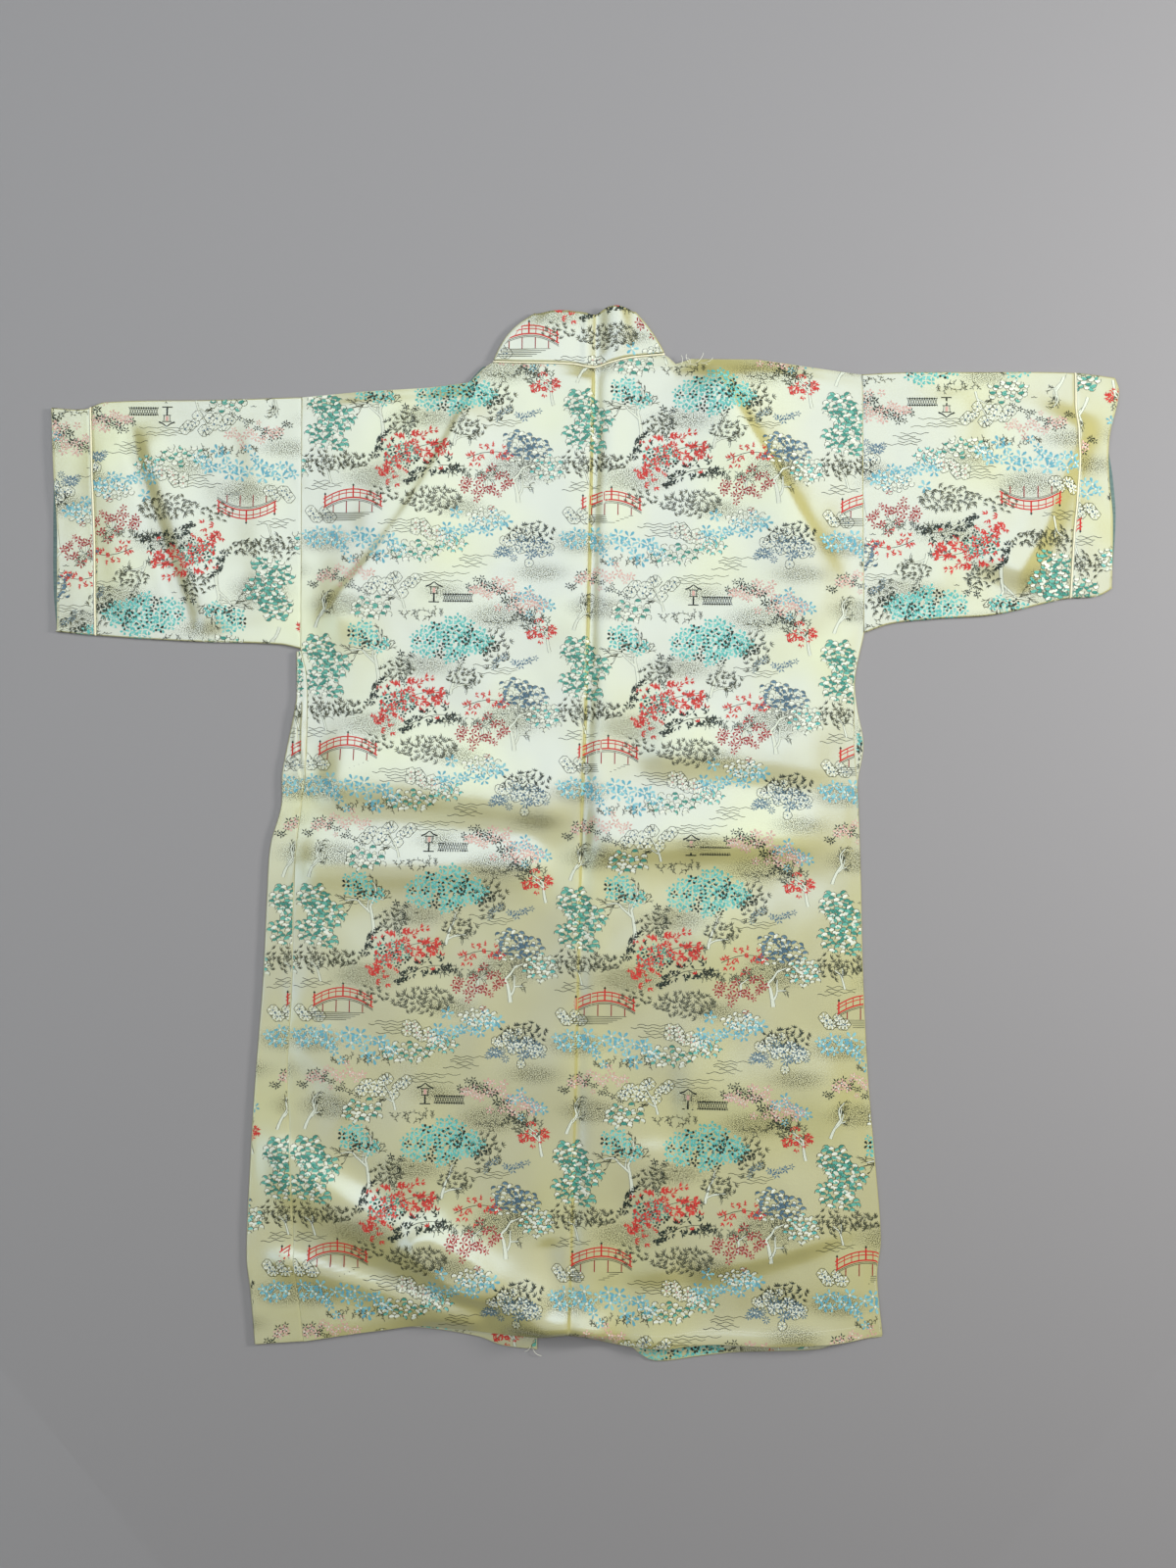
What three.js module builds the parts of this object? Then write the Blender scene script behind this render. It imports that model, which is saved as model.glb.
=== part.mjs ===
// A short wrap jacket of silk brocade, laid flat on a table with its back up.
//
// Frame, in millimetres: +X to the wearer's right, +Y towards the collar, +Z up from the table,
// with the origin in the middle of the garment's box and on the table.
//
// The two fronts lie on the table. The back lies on them, joined at the shoulders and at the
// sides. Each sleeve and cuff is a flattened tube, and the collar is one band that folds over
// at each side of the neck and runs down the fronts. All of it is cloth wall, and the collar's
// is two plies. A piped seam holds a round cord.

import * as THREE from 'three';

// ---- driving sizes ----

const cloth = 1.0;             // wall of the brocade with its seams pressed
const collarPly = 1.6;         // wall of the collar band, which is two plies
const seam = 0.3;              // gap between pieces at a seam
const piping = 1.6;            // diameter of the cord in the neck and cuff seams
const pipingRoom = piping / 2 + seam;

const sleeveHeight = 2.7;      // middle of the upper wall of a sleeve, above the table
const bodyHeight = 4.2;        // middle of the back, away from its edges
const seamHeight = cloth + seam + cloth / 2; // middle of the back where it lies on a front
const bodySwell = 45;          // distance over which the back rises from sleeve to body height
const edgeDrop = 14;           // distance over which the back comes down to its seams
const neckClear = 34;          // stretch of shoulder beside the neck that stays up, on the band
const sideRun = 40;            // distance from the side fold over which creases die out

const cuffRise = 2.0;          // most that a crease lifts the wall of a tube
const wrapMost = 4.8;          // most height of the upper wall over the left front's own fold
const bodyMost = 12;           // most height of the back

const underarm = 153;          // where the left armhole ends and the side seam starts
const rightUnderarm = 175;     // the same on the right
const notch = 1.5;             // the left front steps in to its armhole over this height
const collarTip = 8;           // width of the collar's pointed ends, low on the fronts
const collarBulge = 5.5;       // how far the folds beside the neck bow outwards

// ---- outlines, each a table with a row for each section ----

// Left side below the underarm: the side seam, and the fold where the front wraps round to it.
const leftSide = [
  { y: -458, seam: -232, fold: -275 },
  { y: -412, seam: -238, fold: -280 },
  { y: -383, seam: -242, fold: -284 },
  { y: -311, seam: -245, fold: -283 },
  { y: -230, seam: -251, fold: -280 },
  { y: -141, seam: -249, fold: -275 },
  { y: -62, seam: -249, fold: -273 },
  { y: -21, seam: -248, fold: -271 },
  { y: 15, seam: -244, fold: -262 },
  { y: 43, seam: -241, fold: -262 },
  { y: 108, seam: -241, fold: -251 },
  { y: 135, seam: -243, fold: -251 },
  { y: 153, seam: -248, fold: -251.5 },
];

// Right side below the underarm: the seam at the edge of the back, and the front's edge under it.
const rightSide = [
  { y: -439, seam: 274, front: 274 },
  { y: -389, seam: 269, front: 269 },
  { y: -357, seam: 272, front: 272 },
  { y: -284, seam: 266, front: 266 },
  { y: -218, seam: 260, front: 260 },
  { y: -128, seam: 255, front: 255 },
  { y: -29, seam: 252, front: 252 },
  { y: 40, seam: 249, front: 249 },
  { y: 76, seam: 246, front: 254 },
  { y: 109, seam: 246, front: 248 },
  { y: 135, seam: 246, front: 246 },
  { y: 175, seam: 254, front: 254 },
];

// Armholes, straight from the underarm to the shoulder.
const leftArmhole = [{ y: 153, x: -248 }, { y: 382, x: -252 }];
const rightArmhole = [{ y: 175, x: 254 }, { y: 407, x: 251 }];

// Shoulders: the upper edge of the back outside the neck.
const shoulders = [
  { x: -254, y: 382 },
  { x: -196, y: 388 },
  { x: -138, y: 392 },
  { x: -101, y: 397 },
  { x: -89, y: 409 },
  { x: -80, y: 416 },
  { x: 74, y: 424 },
  { x: 84, y: 415 },
  { x: 98, y: 420 },
  { x: 157, y: 420 },
  { x: 186, y: 416 },
  { x: 251, y: 407 },
];

// Neck seam across the back, along the middle of its piping, and the collar's upper edge.
const neckSeam = [
  { x: -80, y: 416 },
  { x: -40, y: 415 },
  { x: -7, y: 414 },
  { x: 9, y: 411.5 },
  { x: 27, y: 416 },
  { x: 47, y: 421 },
  { x: 74, y: 424 },
];
const collarTop = [
  { x: -43, y: 460 },
  { x: -20, y: 462 },
  { x: -2, y: 461 },
  { x: 10, y: 459 },
  { x: 24, y: 465.5 },
  { x: 40, y: 465 },
  { x: 47, y: 462 },
];

// Hems.
const backHem = [
  { x: -241, y: -456 },
  { x: -200, y: -449 },
  { x: -160, y: -443 },
  { x: -127, y: -439 },
  { x: -26, y: -447 },
  { x: 3, y: -445 },
  { x: 51, y: -452 },
  { x: 81, y: -453 },
  { x: 124, y: -448 },
  { x: 180, y: -449 },
  { x: 238, y: -445 },
  { x: 274, y: -439 },
];
const leftFrontHem = [
  { x: -275, y: -458 },
  { x: -238, y: -455 },
  { x: -170, y: -441 },
  { x: -119, y: -442 },
  { x: -78, y: -448 },
  { x: -58, y: -455 },
  { x: -27, y: -458 },
];
const rightFrontHem = [
  { x: 57, y: -455 },
  { x: 64, y: -461 },
  { x: 72, y: -465 },
  { x: 84, y: -465.5 },
  { x: 111, y: -461 },
  { x: 141, y: -457 },
  { x: 209, y: -453 },
  { x: 227, y: -447 },
  { x: 274, y: -439 },
];

// Crease down the centre of the back.
const centreCrease = [
  { y: -445, x: 2 },
  { y: -222, x: 5 },
  { y: 0, x: 7 },
  { y: 154, x: 10 },
  { y: 411, x: 12 },
];

// Neckline of each front: from the side of the neck to the front edge, and down it to the hem.
const frontEdges = {
  left: { neck: { x: -80, y: 416 }, end: { x: -27, y: 65 }, hem: -27 },
  right: { neck: { x: 74, y: 424 }, end: { x: 44, y: 65 }, hem: 57 },
};

// Sleeves: folded edges above and below along the sleeve, and the seam lines across it.
const leftSleeve = {
  above: [{ x: -479, y: 371 }, { x: -443, y: 369.5 }, { x: -425, y: 376 }, { x: -326, y: 379 }, { x: -253, y: 382 }],
  below: [{ x: -479, y: 169 }, { x: -433, y: 165 }, { x: -354, y: 161 }, { x: -269, y: 159 }, { x: -244, y: 154 }],
  cuffSeam: [{ y: 165, x: -433 }, { y: 247, x: -436 }, { y: 302, x: -439 }, { y: 370, x: -443 }],
  endAbove: [{ y: 169, x: -467.5 }, { y: 205, x: -468.5 }, { y: 265, x: -470.5 }, { y: 309, x: -474.5 }, { y: 371, x: -478.3 }],
  endBelow: [{ y: 169, x: -468.5 }, { y: 205, x: -472.5 }, { y: 265, x: -474.5 }, { y: 309, x: -475.5 }, { y: 371, x: -478.3 }],
};
const rightSleeve = {
  above: [{ x: 251, y: 407 }, { x: 285, y: 409 }, { x: 354, y: 410 }, { x: 439, y: 410 }, { x: 479, y: 405 }],
  below: [{ x: 251, y: 175 }, { x: 278, y: 184 }, { x: 321, y: 189 }, { x: 372, y: 193 }, { x: 436, y: 208 }, { x: 463, y: 211 }, { x: 479, y: 222 }],
  cuffSeam: [{ y: 207, x: 436 }, { y: 263, x: 439 }, { y: 324, x: 443 }, { y: 350, x: 441 }, { y: 410, x: 440 }],
  endAbove: [{ y: 211, x: 472 }, { y: 281, x: 473 }, { y: 316, x: 470 }, { y: 351, x: 470 }, { y: 393, x: 478.7 }, { y: 406, x: 475 }],
  endBelow: [{ y: 211, x: 472 }, { y: 281, x: 476.5 }, { y: 316, x: 474 }, { y: 351, x: 470 }, { y: 393, x: 478.7 }, { y: 406, x: 475 }],
};

// ---- creases of the upper layer ----

// Each runs from (x0, y0) to (x1, y1) and bows to its left by `bow` at the middle. `rise` is its
// height, or its depth where negative, and `left` and `right` are the widths of its two flanks.
const creases = [
  { name: 'right diagonal', x0: 108, y0: 424, x1: 255, y1: 186, bow: -2, rise: 5.5, left: 6, right: 55, tube: false },
  { name: 'left diagonal', x0: -93, y0: 395, x1: -248, y1: 164, bow: 14, rise: 5.0, left: 60, right: 13, tube: false },
  { name: 'upper fold, left half', x0: -252, y0: 38, x1: 0, y1: 30, bow: 3, rise: 4.5, left: 60, right: 20, tube: false },
  { name: 'upper fold, right half', x0: 4, y0: 58, x1: 258, y1: 66, bow: 0, rise: 3.2, left: 50, right: 25, tube: false },
  { name: 'lower fold, left half', x0: -262, y0: -40, x1: 16, y1: -34, bow: 0, rise: 3.6, left: 26, right: 45, tube: false },
  { name: 'lower fold, right half', x0: -2, y0: -14, x1: 262, y1: -6, bow: 2, rise: 4.4, left: 34, right: 10, tube: false },
  { name: 'low left ridge', x0: -290, y0: -272, x1: 6, y1: -410, bow: -12, rise: 5.0, left: 15, right: 26, tube: false },
  { name: 'ridge above the left hem', x0: -262, y0: -382, x1: -110, y1: -410, bow: 3, rise: 2.4, left: 12, right: 16, tube: false },
  { name: 'swell above the right hem', x0: 30, y0: -414, x1: 276, y1: -404, bow: 4, rise: 2.6, left: 34, right: 24, tube: false },
  { name: 'slant above the right hem', x0: 190, y0: -392, x1: 278, y1: -356, bow: 2, rise: 1.8, left: 12, right: 20, tube: false },
  { name: 'left sleeve trough', x0: -411, y0: 345, x1: -341, y1: 158, bow: -3, rise: -1.2, left: 9, right: 11, tube: true },
  { name: 'left sleeve ridge', x0: -396, y0: 352, x1: -322, y1: 158, bow: -3, rise: 1.7, left: 22, right: 12, tube: true },
  { name: 'left sleeve swell', x0: -432, y0: 352, x1: -386, y1: 160, bow: 0, rise: 1.2, left: 14, right: 16, tube: true },
  { name: 'right sleeve ridge', x0: 446, y0: 345, x1: 384, y1: 200, bow: 4, rise: 1.9, left: 24, right: 8, tube: true },
  { name: 'right sleeve slant', x0: 448, y0: 296, x1: 372, y1: 244, bow: 0, rise: 1.2, left: 12, right: 10, tube: true },
  { name: 'right sleeve swell', x0: 300, y0: 404, x1: 318, y1: 196, bow: 6, rise: 1.2, left: 30, right: 30, tube: true },
];
const centreTrough = { depth: 2.3, left: 5, right: 9 };
const creaseEnd = 0.14;        // share of a crease over which it dies out at each end

// Swells of the collar across the back of the neck.
const collarSwells = [
  { x: -26, rise: 2.2, left: 26, right: 24 },
  { x: 13, rise: -1.4, left: 4, right: 5 },
  { x: 33, rise: 2.6, left: 11, right: 20 },
];

// ---- facets ----

const shoulderCells = 9;       // cells across the back from each armhole to the neck
const rowsBelow = 33;          // rows of cells below the underarm, and above it
const rowsAbove = 13;
const frontColumns = 8;
const frontRows = 18;
const foldCells = 4;           // cells round a folded edge
const wrapColumns = 3;         // cells from the side fold up to the side seam
const tubeCells = { above: 13, below: 5 };
const sleeveCells = 12;
const cuffCells = 3;
const bandCells = { across: 5, leg: 8 };
const cordSides = 8;

// ---- reading the tables ----

// Smooth curve through the rows of a table: value of `column` where the rows' `along` equals t.
function read(rows, along, column, t) {
  const last = rows.length - 1;
  let k = 0;
  while (k < last - 1 && t > rows[k + 1][along]) k += 1;
  const slope = (i) => {
    const a = rows[Math.max(i - 1, 0)];
    const b = rows[Math.min(i + 1, last)];
    return (b[column] - a[column]) / (b[along] - a[along]);
  };
  const span = rows[k + 1][along] - rows[k][along];
  const s = THREE.MathUtils.clamp((t - rows[k][along]) / span, 0, 1);
  const hermite = [2 * s ** 3 - 3 * s ** 2 + 1, s ** 3 - 2 * s ** 2 + s, -2 * s ** 3 + 3 * s ** 2, s ** 3 - s ** 2];
  return hermite[0] * rows[k][column] + hermite[1] * span * slope(k)
    + hermite[2] * rows[k + 1][column] + hermite[3] * span * slope(k + 1);
}

// Straight lines between the rows, for outlines with corners.
function readStraight(rows, along, column, t) {
  const last = rows.length - 1;
  let k = 0;
  while (k < last - 1 && t > rows[k + 1][along]) k += 1;
  const s = THREE.MathUtils.clamp((t - rows[k][along]) / (rows[k + 1][along] - rows[k][along]), 0, 1);
  return THREE.MathUtils.lerp(rows[k][column], rows[k + 1][column], s);
}

const lerp = THREE.MathUtils.lerp;
const ease = (t) => THREE.MathUtils.smoothstep(t, 0, 1);
const flank = (d, width) => Math.exp(-((d / width) ** 2));

// n + 1 values from a to b.
function steps(a, b, n) {
  return Array.from({ length: n + 1 }, (_, i) => lerp(a, b, i / n));
}

// ---- height of the upper layer ----

// Height that one crease adds at (x, y).
function creaseHeight(crease, x, y) {
  const dx = crease.x1 - crease.x0;
  const dy = crease.y1 - crease.y0;
  const length = Math.hypot(dx, dy);
  const along = ((x - crease.x0) * dx + (y - crease.y0) * dy) / length ** 2;
  if (along <= 0 || along >= 1) return 0;
  const aside = ((y - crease.y0) * dx - (x - crease.x0) * dy) / length - crease.bow * 4 * along * (1 - along);
  const fade = ease(along / creaseEnd) * ease((1 - along) / creaseEnd);
  return crease.rise * fade * flank(aside, aside > 0 ? crease.left : crease.right);
}

// Edges of the back: the armhole, and below it the side seam.
function leftEdge(y) {
  return y < underarm ? read(leftSide, 'y', 'seam', y) : readStraight(leftArmhole, 'y', 'x', y);
}
function rightEdge(y) {
  return y < rightUnderarm ? read(rightSide, 'y', 'seam', y) : readStraight(rightArmhole, 'y', 'x', y);
}

// Middle of the upper wall at (x, y), before it comes down to a seam.
function upperHeight(x, y) {
  const armLeft = leftEdge(y);
  const armRight = rightEdge(y);
  const body = ease((x - armLeft) / bodySwell) * ease((armRight - x) / bodySwell);
  const side = ease((x - armLeft + wrapDepth(y)) / sideRun);
  let height = lerp(sleeveHeight, bodyHeight, body);
  let tube = 0;
  for (const crease of creases) {
    const added = creaseHeight(crease, x, y);
    if (crease.tube) tube += added;
    else height += added * side * ease((armRight - x) / (sideRun / 2));
  }
  const off = x - read(centreCrease, 'y', 'x', y);
  height -= centreTrough.depth * flank(off, off < 0 ? centreTrough.left : centreTrough.right);
  const most = lerp(wrapMost, bodyMost, ease((x - armLeft) / bodySwell));
  return THREE.MathUtils.clamp(height + Math.min(tube, cuffRise), seamHeight + 0.2, most);
}

// Width of the front's strip that wraps onto the back below the left underarm.
function wrapDepth(y) {
  if (y > underarm) return 0;
  return leftEdge(y) - read(leftSide, 'y', 'fold', y);
}

// Middle of the back: the upper height, brought down onto the fronts at the shoulders, the right
// side and the hem, and to the height of the collar's seam at the neck.
function backHeight(x, y, above, below) {
  const shoulder = Math.max(ease((-80 - x) / neckClear), ease((x - 74) / neckClear));
  const top = lerp(collarHeight(x, 0), seamHeight, shoulder);
  const height = lerp(top, upperHeight(x, y), ease((above - y) / edgeDrop));
  const atHem = ease((y - below) / edgeDrop);
  const atSide = Math.max(ease((rightEdge(y) - x) / edgeDrop), ease((y - rightUnderarm) / edgeDrop));
  return lerp(seamHeight, height, Math.min(atHem, atSide));
}

// ---- solids ----

// Closed wall of cloth about a grid of points on its middle. A cell of the grid is cloth where
// isCloth(row, column) says so, and `ring` joins the last column to the first.
function clothWall(grid, thickness, { ring = false, isCloth = () => true } = {}) {
  const rows = grid.length;
  const columns = grid[0].length;
  const across = ring ? columns : columns - 1;
  const next = (column) => (column + 1) % columns;
  const inside = (r, c) => r >= 0 && r < rows - 1 && (ring || (c >= 0 && c < across)) && isCloth(r, (c + across) % across);
  const normals = grid.map((line) => line.map(() => new THREE.Vector3()));
  const diagonal = new THREE.Vector3();
  const counter = new THREE.Vector3();
  for (let r = 0; r < rows - 1; r += 1) {
    for (let c = 0; c < across; c += 1) {
      if (!inside(r, c)) continue;
      diagonal.subVectors(grid[r + 1][next(c)], grid[r][c]);
      counter.subVectors(grid[r + 1][c], grid[r][next(c)]);
      const normal = diagonal.clone().cross(counter).normalize();
      for (const [i, j] of [[r, c], [r, next(c)], [r + 1, next(c)], [r + 1, c]]) normals[i][j].add(normal);
    }
  }
  const positions = [];
  const outer = grid.map((line, r) => line.map((point, c) => {
    const half = normals[r][c].clone().normalize().multiplyScalar(thickness / 2);
    positions.push(...point.clone().add(half).toArray(), ...point.clone().sub(half).toArray());
    return positions.length / 3 - 2;
  }));
  const faces = [];
  const quad = (a, b, c, d) => faces.push(a, b, c, a, c, d);
  for (let r = 0; r < rows - 1; r += 1) {
    for (let c = 0; c < across; c += 1) {
      if (!inside(r, c)) continue;
      const [p, q, s, t] = [outer[r][c], outer[r][next(c)], outer[r + 1][next(c)], outer[r + 1][c]];
      const level = Math.abs(grid[r][c].z - grid[r + 1][next(c)].z) <= Math.abs(grid[r][next(c)].z - grid[r + 1][c].z);
      if (level) {
        quad(p, q, s, t);
        quad(p + 1, t + 1, s + 1, q + 1);
      } else {
        quad(q, s, t, p);
        quad(q + 1, p + 1, t + 1, s + 1);
      }
      if (!inside(r - 1, c)) quad(q, p, p + 1, q + 1);
      if (!inside(r + 1, c)) quad(t, s, s + 1, t + 1);
      if (!inside(r, c - 1)) quad(p, t, t + 1, p + 1);
      if (!inside(r, c + 1)) quad(s, q, q + 1, s + 1);
    }
  }
  return bodyOf(positions, faces);
}

// Round cord through points. Each section is drawn with `side`, a direction square to the path.
// A ring has no ends, and an open cord has a flat face at each.
function cordAlong(points, diameter, side, ring = false) {
  const count = points.length;
  const positions = [];
  points.forEach((point, i) => {
    const ahead = points[ring ? (i + 1) % count : Math.min(i + 1, count - 1)];
    const behind = points[ring ? (i + count - 1) % count : Math.max(i - 1, 0)];
    const path = new THREE.Vector3().subVectors(ahead, behind).normalize();
    const b = new THREE.Vector3().crossVectors(path, side).normalize();
    const a = new THREE.Vector3().crossVectors(b, path);
    for (let k = 0; k < cordSides; k += 1) {
      const turn = (2 * Math.PI * k) / cordSides;
      const spoke = a.clone().multiplyScalar(Math.cos(turn)).addScaledVector(b, Math.sin(turn));
      positions.push(...point.clone().addScaledVector(spoke, diameter / 2).toArray());
    }
  });
  const faces = [];
  for (let i = 0; i < (ring ? count : count - 1); i += 1) {
    for (let k = 0; k < cordSides; k += 1) {
      const here = i * cordSides;
      const there = ((i + 1) % count) * cordSides;
      const turn = (k + 1) % cordSides;
      faces.push(here + k, there + k, there + turn, here + k, there + turn, here + turn);
    }
  }
  if (!ring) {
    const end = (count - 1) * cordSides;
    for (let k = 1; k < cordSides - 1; k += 1) {
      faces.push(0, k, k + 1);
      faces.push(end, end + k + 1, end + k);
    }
  }
  return bodyOf(positions, faces);
}

// Geometry from positions and faces, without the points that no face uses, turned inside out
// where its volume comes out negative.
function bodyOf(positions, faces) {
  const renumbered = new Map();
  const used = [];
  const index = faces.map((v) => {
    if (!renumbered.has(v)) {
      renumbered.set(v, used.length / 3);
      used.push(positions[3 * v], positions[3 * v + 1], positions[3 * v + 2]);
    }
    return renumbered.get(v);
  });
  const corner = (v) => new THREE.Vector3().fromArray(used, 3 * v);
  let volume = 0;
  for (let i = 0; i < index.length; i += 3) {
    volume += corner(index[i]).dot(corner(index[i + 1]).cross(corner(index[i + 2])));
  }
  if (volume < 0) {
    for (let i = 0; i < index.length; i += 3) [index[i], index[i + 1]] = [index[i + 1], index[i]];
  }
  const geometry = new THREE.BufferGeometry();
  geometry.setAttribute('position', new THREE.Float32BufferAttribute(used, 3));
  geometry.setIndex(index);
  return geometry;
}

// Half circle of points from the lower layer to the upper one round a folded edge, bulging
// towards `out`, a unit direction in the plane, from the edge point (x, y). Ends are left out.
function foldPoints(x, y, out, low, high, cells) {
  const radius = (high - low) / 2;
  return steps(0, Math.PI, cells).slice(1, -1).map((turn) => {
    const reach = radius * (Math.sin(turn) - 1);
    return new THREE.Vector3(x + out.x * reach, y + out.y * reach, low + radius * (1 - Math.cos(turn)));
  });
}

// Stations across the neck, which the back, the collar and the piping share, so that their edges
// follow one another. They close up at the centre crease.
const neckCrease = read(centreCrease, 'y', 'x', 411);
const neckStations = [
  ...steps(-80, neckCrease - 7, 6),
  neckCrease,
  ...steps(neckCrease + 9, 74, 4),
];

// ---- back ----

// Heights of the cells' rows along the left edge, which the left front's strip shares.
const levels = [
  ...steps(read(backHem, 'x', 'y', -232), underarm, rowsBelow),
  ...steps(underarm, 382, rowsAbove).slice(1),
];

// Upper edge of the back: the shoulders, and between them the neck seam less its piping.
function backTop(x) {
  const inNeck = x > neckSeam[0].x - seam && x < neckSeam.at(-1).x + seam;
  return inNeck ? read(neckSeam, 'x', 'y', x) - pipingRoom - 0.1 : readStraight(shoulders, 'x', 'y', x);
}

// Shares of the width at which the back's columns stand, so that at its top they keep the
// corners of the shoulders and stand at the neck stations.
function backShares() {
  const crease = neckCrease;
  const left = leftEdge(382) + seam / 2;
  const right = rightEdge(407) - seam / 2;
  const stations = [
    ...steps(left, -101, shoulderCells), ...neckStations, ...steps(98, right, shoulderCells),
  ];
  return stations.map((x) => (x < crease ? (x - crease) / (crease - left) : (x - crease) / (right - crease)));
}

function backGrid() {
  const shares = backShares();
  const place = (share, y) => {
    const crease = read(centreCrease, 'y', 'x', y);
    const left = leftEdge(y) + seam / 2;
    const right = rightEdge(y) - seam / 2;
    return share < 0 ? crease + share * (crease - left) : crease + share * (right - crease);
  };
  return levels.map((level) => shares.map((share) => {
    const t = (level - levels[0]) / (levels.at(-1) - levels[0]);
    const above = backTop(place(share, 411));
    const below = read(backHem, 'x', 'y', place(share, -445));
    const y = lerp(below, above, t);
    const x = place(share, y);
    return new THREE.Vector3(x, y, backHeight(x, y, above, below));
  }));
}

// ---- fronts, which lie on the table ----

// Outer edge of a front's neckline and front edge at height y, less the piping.
function frontEdge(side, y) {
  const { neck, end, hem } = frontEdges[side];
  const outward = side === 'left' ? -1 : 1;
  if (y < end.y) return lerp(hem, end.x, ease((y + 465) / (end.y + 465)));
  return lerp(end.x, neck.x, (y - end.y) / (neck.y - end.y)) + outward * pipingRoom;
}

// The left front runs from its front edge out to the side fold, round it, and on over the back to
// the side seam. Above the underarm it stops at the armhole.
function leftFront() {
  const fold = (y) => (y > underarm ? leftEdge(y) + seam / 2 : read(leftSide, 'y', 'fold', y));
  const above = [underarm + notch, ...steps(underarm, levels.at(-1), 4).slice(1)];
  const rows = [...levels.slice(0, rowsBelow + 1), ...above];
  const grid = rows.map((level) => {
    const line = [];
    for (const t of steps(0, 1, frontColumns)) {
      const x = lerp(frontEdge('left', level), fold(level), t);
      const hem = read(leftFrontHem, 'x', 'y', x);
      const top = readStraight(shoulders, 'x', 'y', Math.min(x, -84)) - seam;
      const y = lerp(hem, top, (level - levels[0]) / (levels.at(-1) - levels[0]));
      line.push({ x: lerp(frontEdge('left', y), fold(y), t), y });
    }
    const edge = line.at(-1);
    const rim = Math.max(upperHeight(edge.x + 2, edge.y), sleeveHeight);
    const radius = (rim - cloth / 2) / 2;
    const flat = line.map((p) => new THREE.Vector3(p.x + (p === edge && level <= underarm ? radius : 0), p.y, cloth / 2));
    const round = foldPoints(edge.x, edge.y, { x: -1, y: 0 }, cloth / 2, rim, foldCells);
    const wrap = steps(0, 1, wrapColumns).map((t) => {
      const x = lerp(edge.x + radius, leftEdge(level) - seam / 2, t);
      const y = lerp(edge.y, level, t);
      return new THREE.Vector3(x, y, t === 0 ? rim : upperHeight(x, y));
    });
    return [...flat, ...round, ...wrap];
  });
  const isCloth = (row, column) => column < frontColumns || row < rowsBelow;
  return clothWall(grid, cloth, { isCloth });
}

function rightFront() {
  const grid = steps(0, 1, frontRows).map((t) => steps(0, 1, frontColumns).map((s) => {
    const nominal = lerp(frontEdge('right', lerp(-460, 415, t)), 262, s);
    const hem = read(rightFrontHem, 'x', 'y', nominal);
    const top = readStraight(shoulders, 'x', 'y', Math.max(nominal, 79)) - seam;
    const y = lerp(hem, top, t);
    const edge = (y < rightUnderarm ? read(rightSide, 'y', 'front', y) : rightEdge(y)) - seam / 2;
    return new THREE.Vector3(lerp(frontEdge('right', y), edge, s), y, cloth / 2);
  }));
  return clothWall(grid, cloth);
}

// ---- sleeves and cuffs: flattened tubes ----

// A tube between two lines across the sleeve. from(y, layer) and to(y, layer) give their x, with
// layer 'endAbove' for the upper wall and 'endBelow' for the lower one.
function flatTube(sleeve, from, to, cells) {
  const grid = steps(0, 1, cells).map((t) => {
    const middle = 280;
    const nominal = lerp(from(middle, 'endAbove'), to(middle, 'endAbove'), t);
    const high = read(sleeve.above, 'x', 'y', nominal);
    const low = read(sleeve.below, 'x', 'y', nominal);
    const at = (y, layer) => lerp(from(y, layer), to(y, layer), t);
    const radius = (sleeveHeight - cloth / 2) / 2;
    const upper = steps(low + radius, high - radius, tubeCells.above).map((y) => {
      const x = at(y, 'endAbove');
      const edge = ease(Math.min(y - low - radius, high - radius - y) / edgeDrop);
      return new THREE.Vector3(x, y, lerp(sleeveHeight, upperHeight(x, y), edge));
    });
    const lower = steps(high - radius, low + radius, tubeCells.below).map((y) => (
      new THREE.Vector3(at(y, 'endBelow'), y, cloth / 2)));
    const topFold = foldPoints(at(high, 'endBelow'), high, { x: 0, y: 1 }, cloth / 2, sleeveHeight, foldCells);
    const lowFold = foldPoints(at(low, 'endBelow'), low, { x: 0, y: -1 }, cloth / 2, sleeveHeight, foldCells);
    return [...upper, ...topFold.reverse(), ...lower, ...lowFold];
  });
  return clothWall(grid, cloth, { ring: true });
}

function sleeveParts(sleeve, armhole, outward) {
  const cuffLine = (y) => read(sleeve.cuffSeam, 'y', 'x', y);
  const arm = (y) => armhole(y) + outward * seam * 0.65;
  const end = (y, layer) => read(sleeve[layer], 'y', 'x', y);
  const main = flatTube(sleeve, arm, (y) => cuffLine(y) - outward * pipingRoom, sleeveCells);
  const cuff = flatTube(sleeve, (y) => cuffLine(y) + outward * pipingRoom, end, cuffCells);
  return { main, cuff, cord: cuffCord(sleeve, cuffLine) };
}

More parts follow.
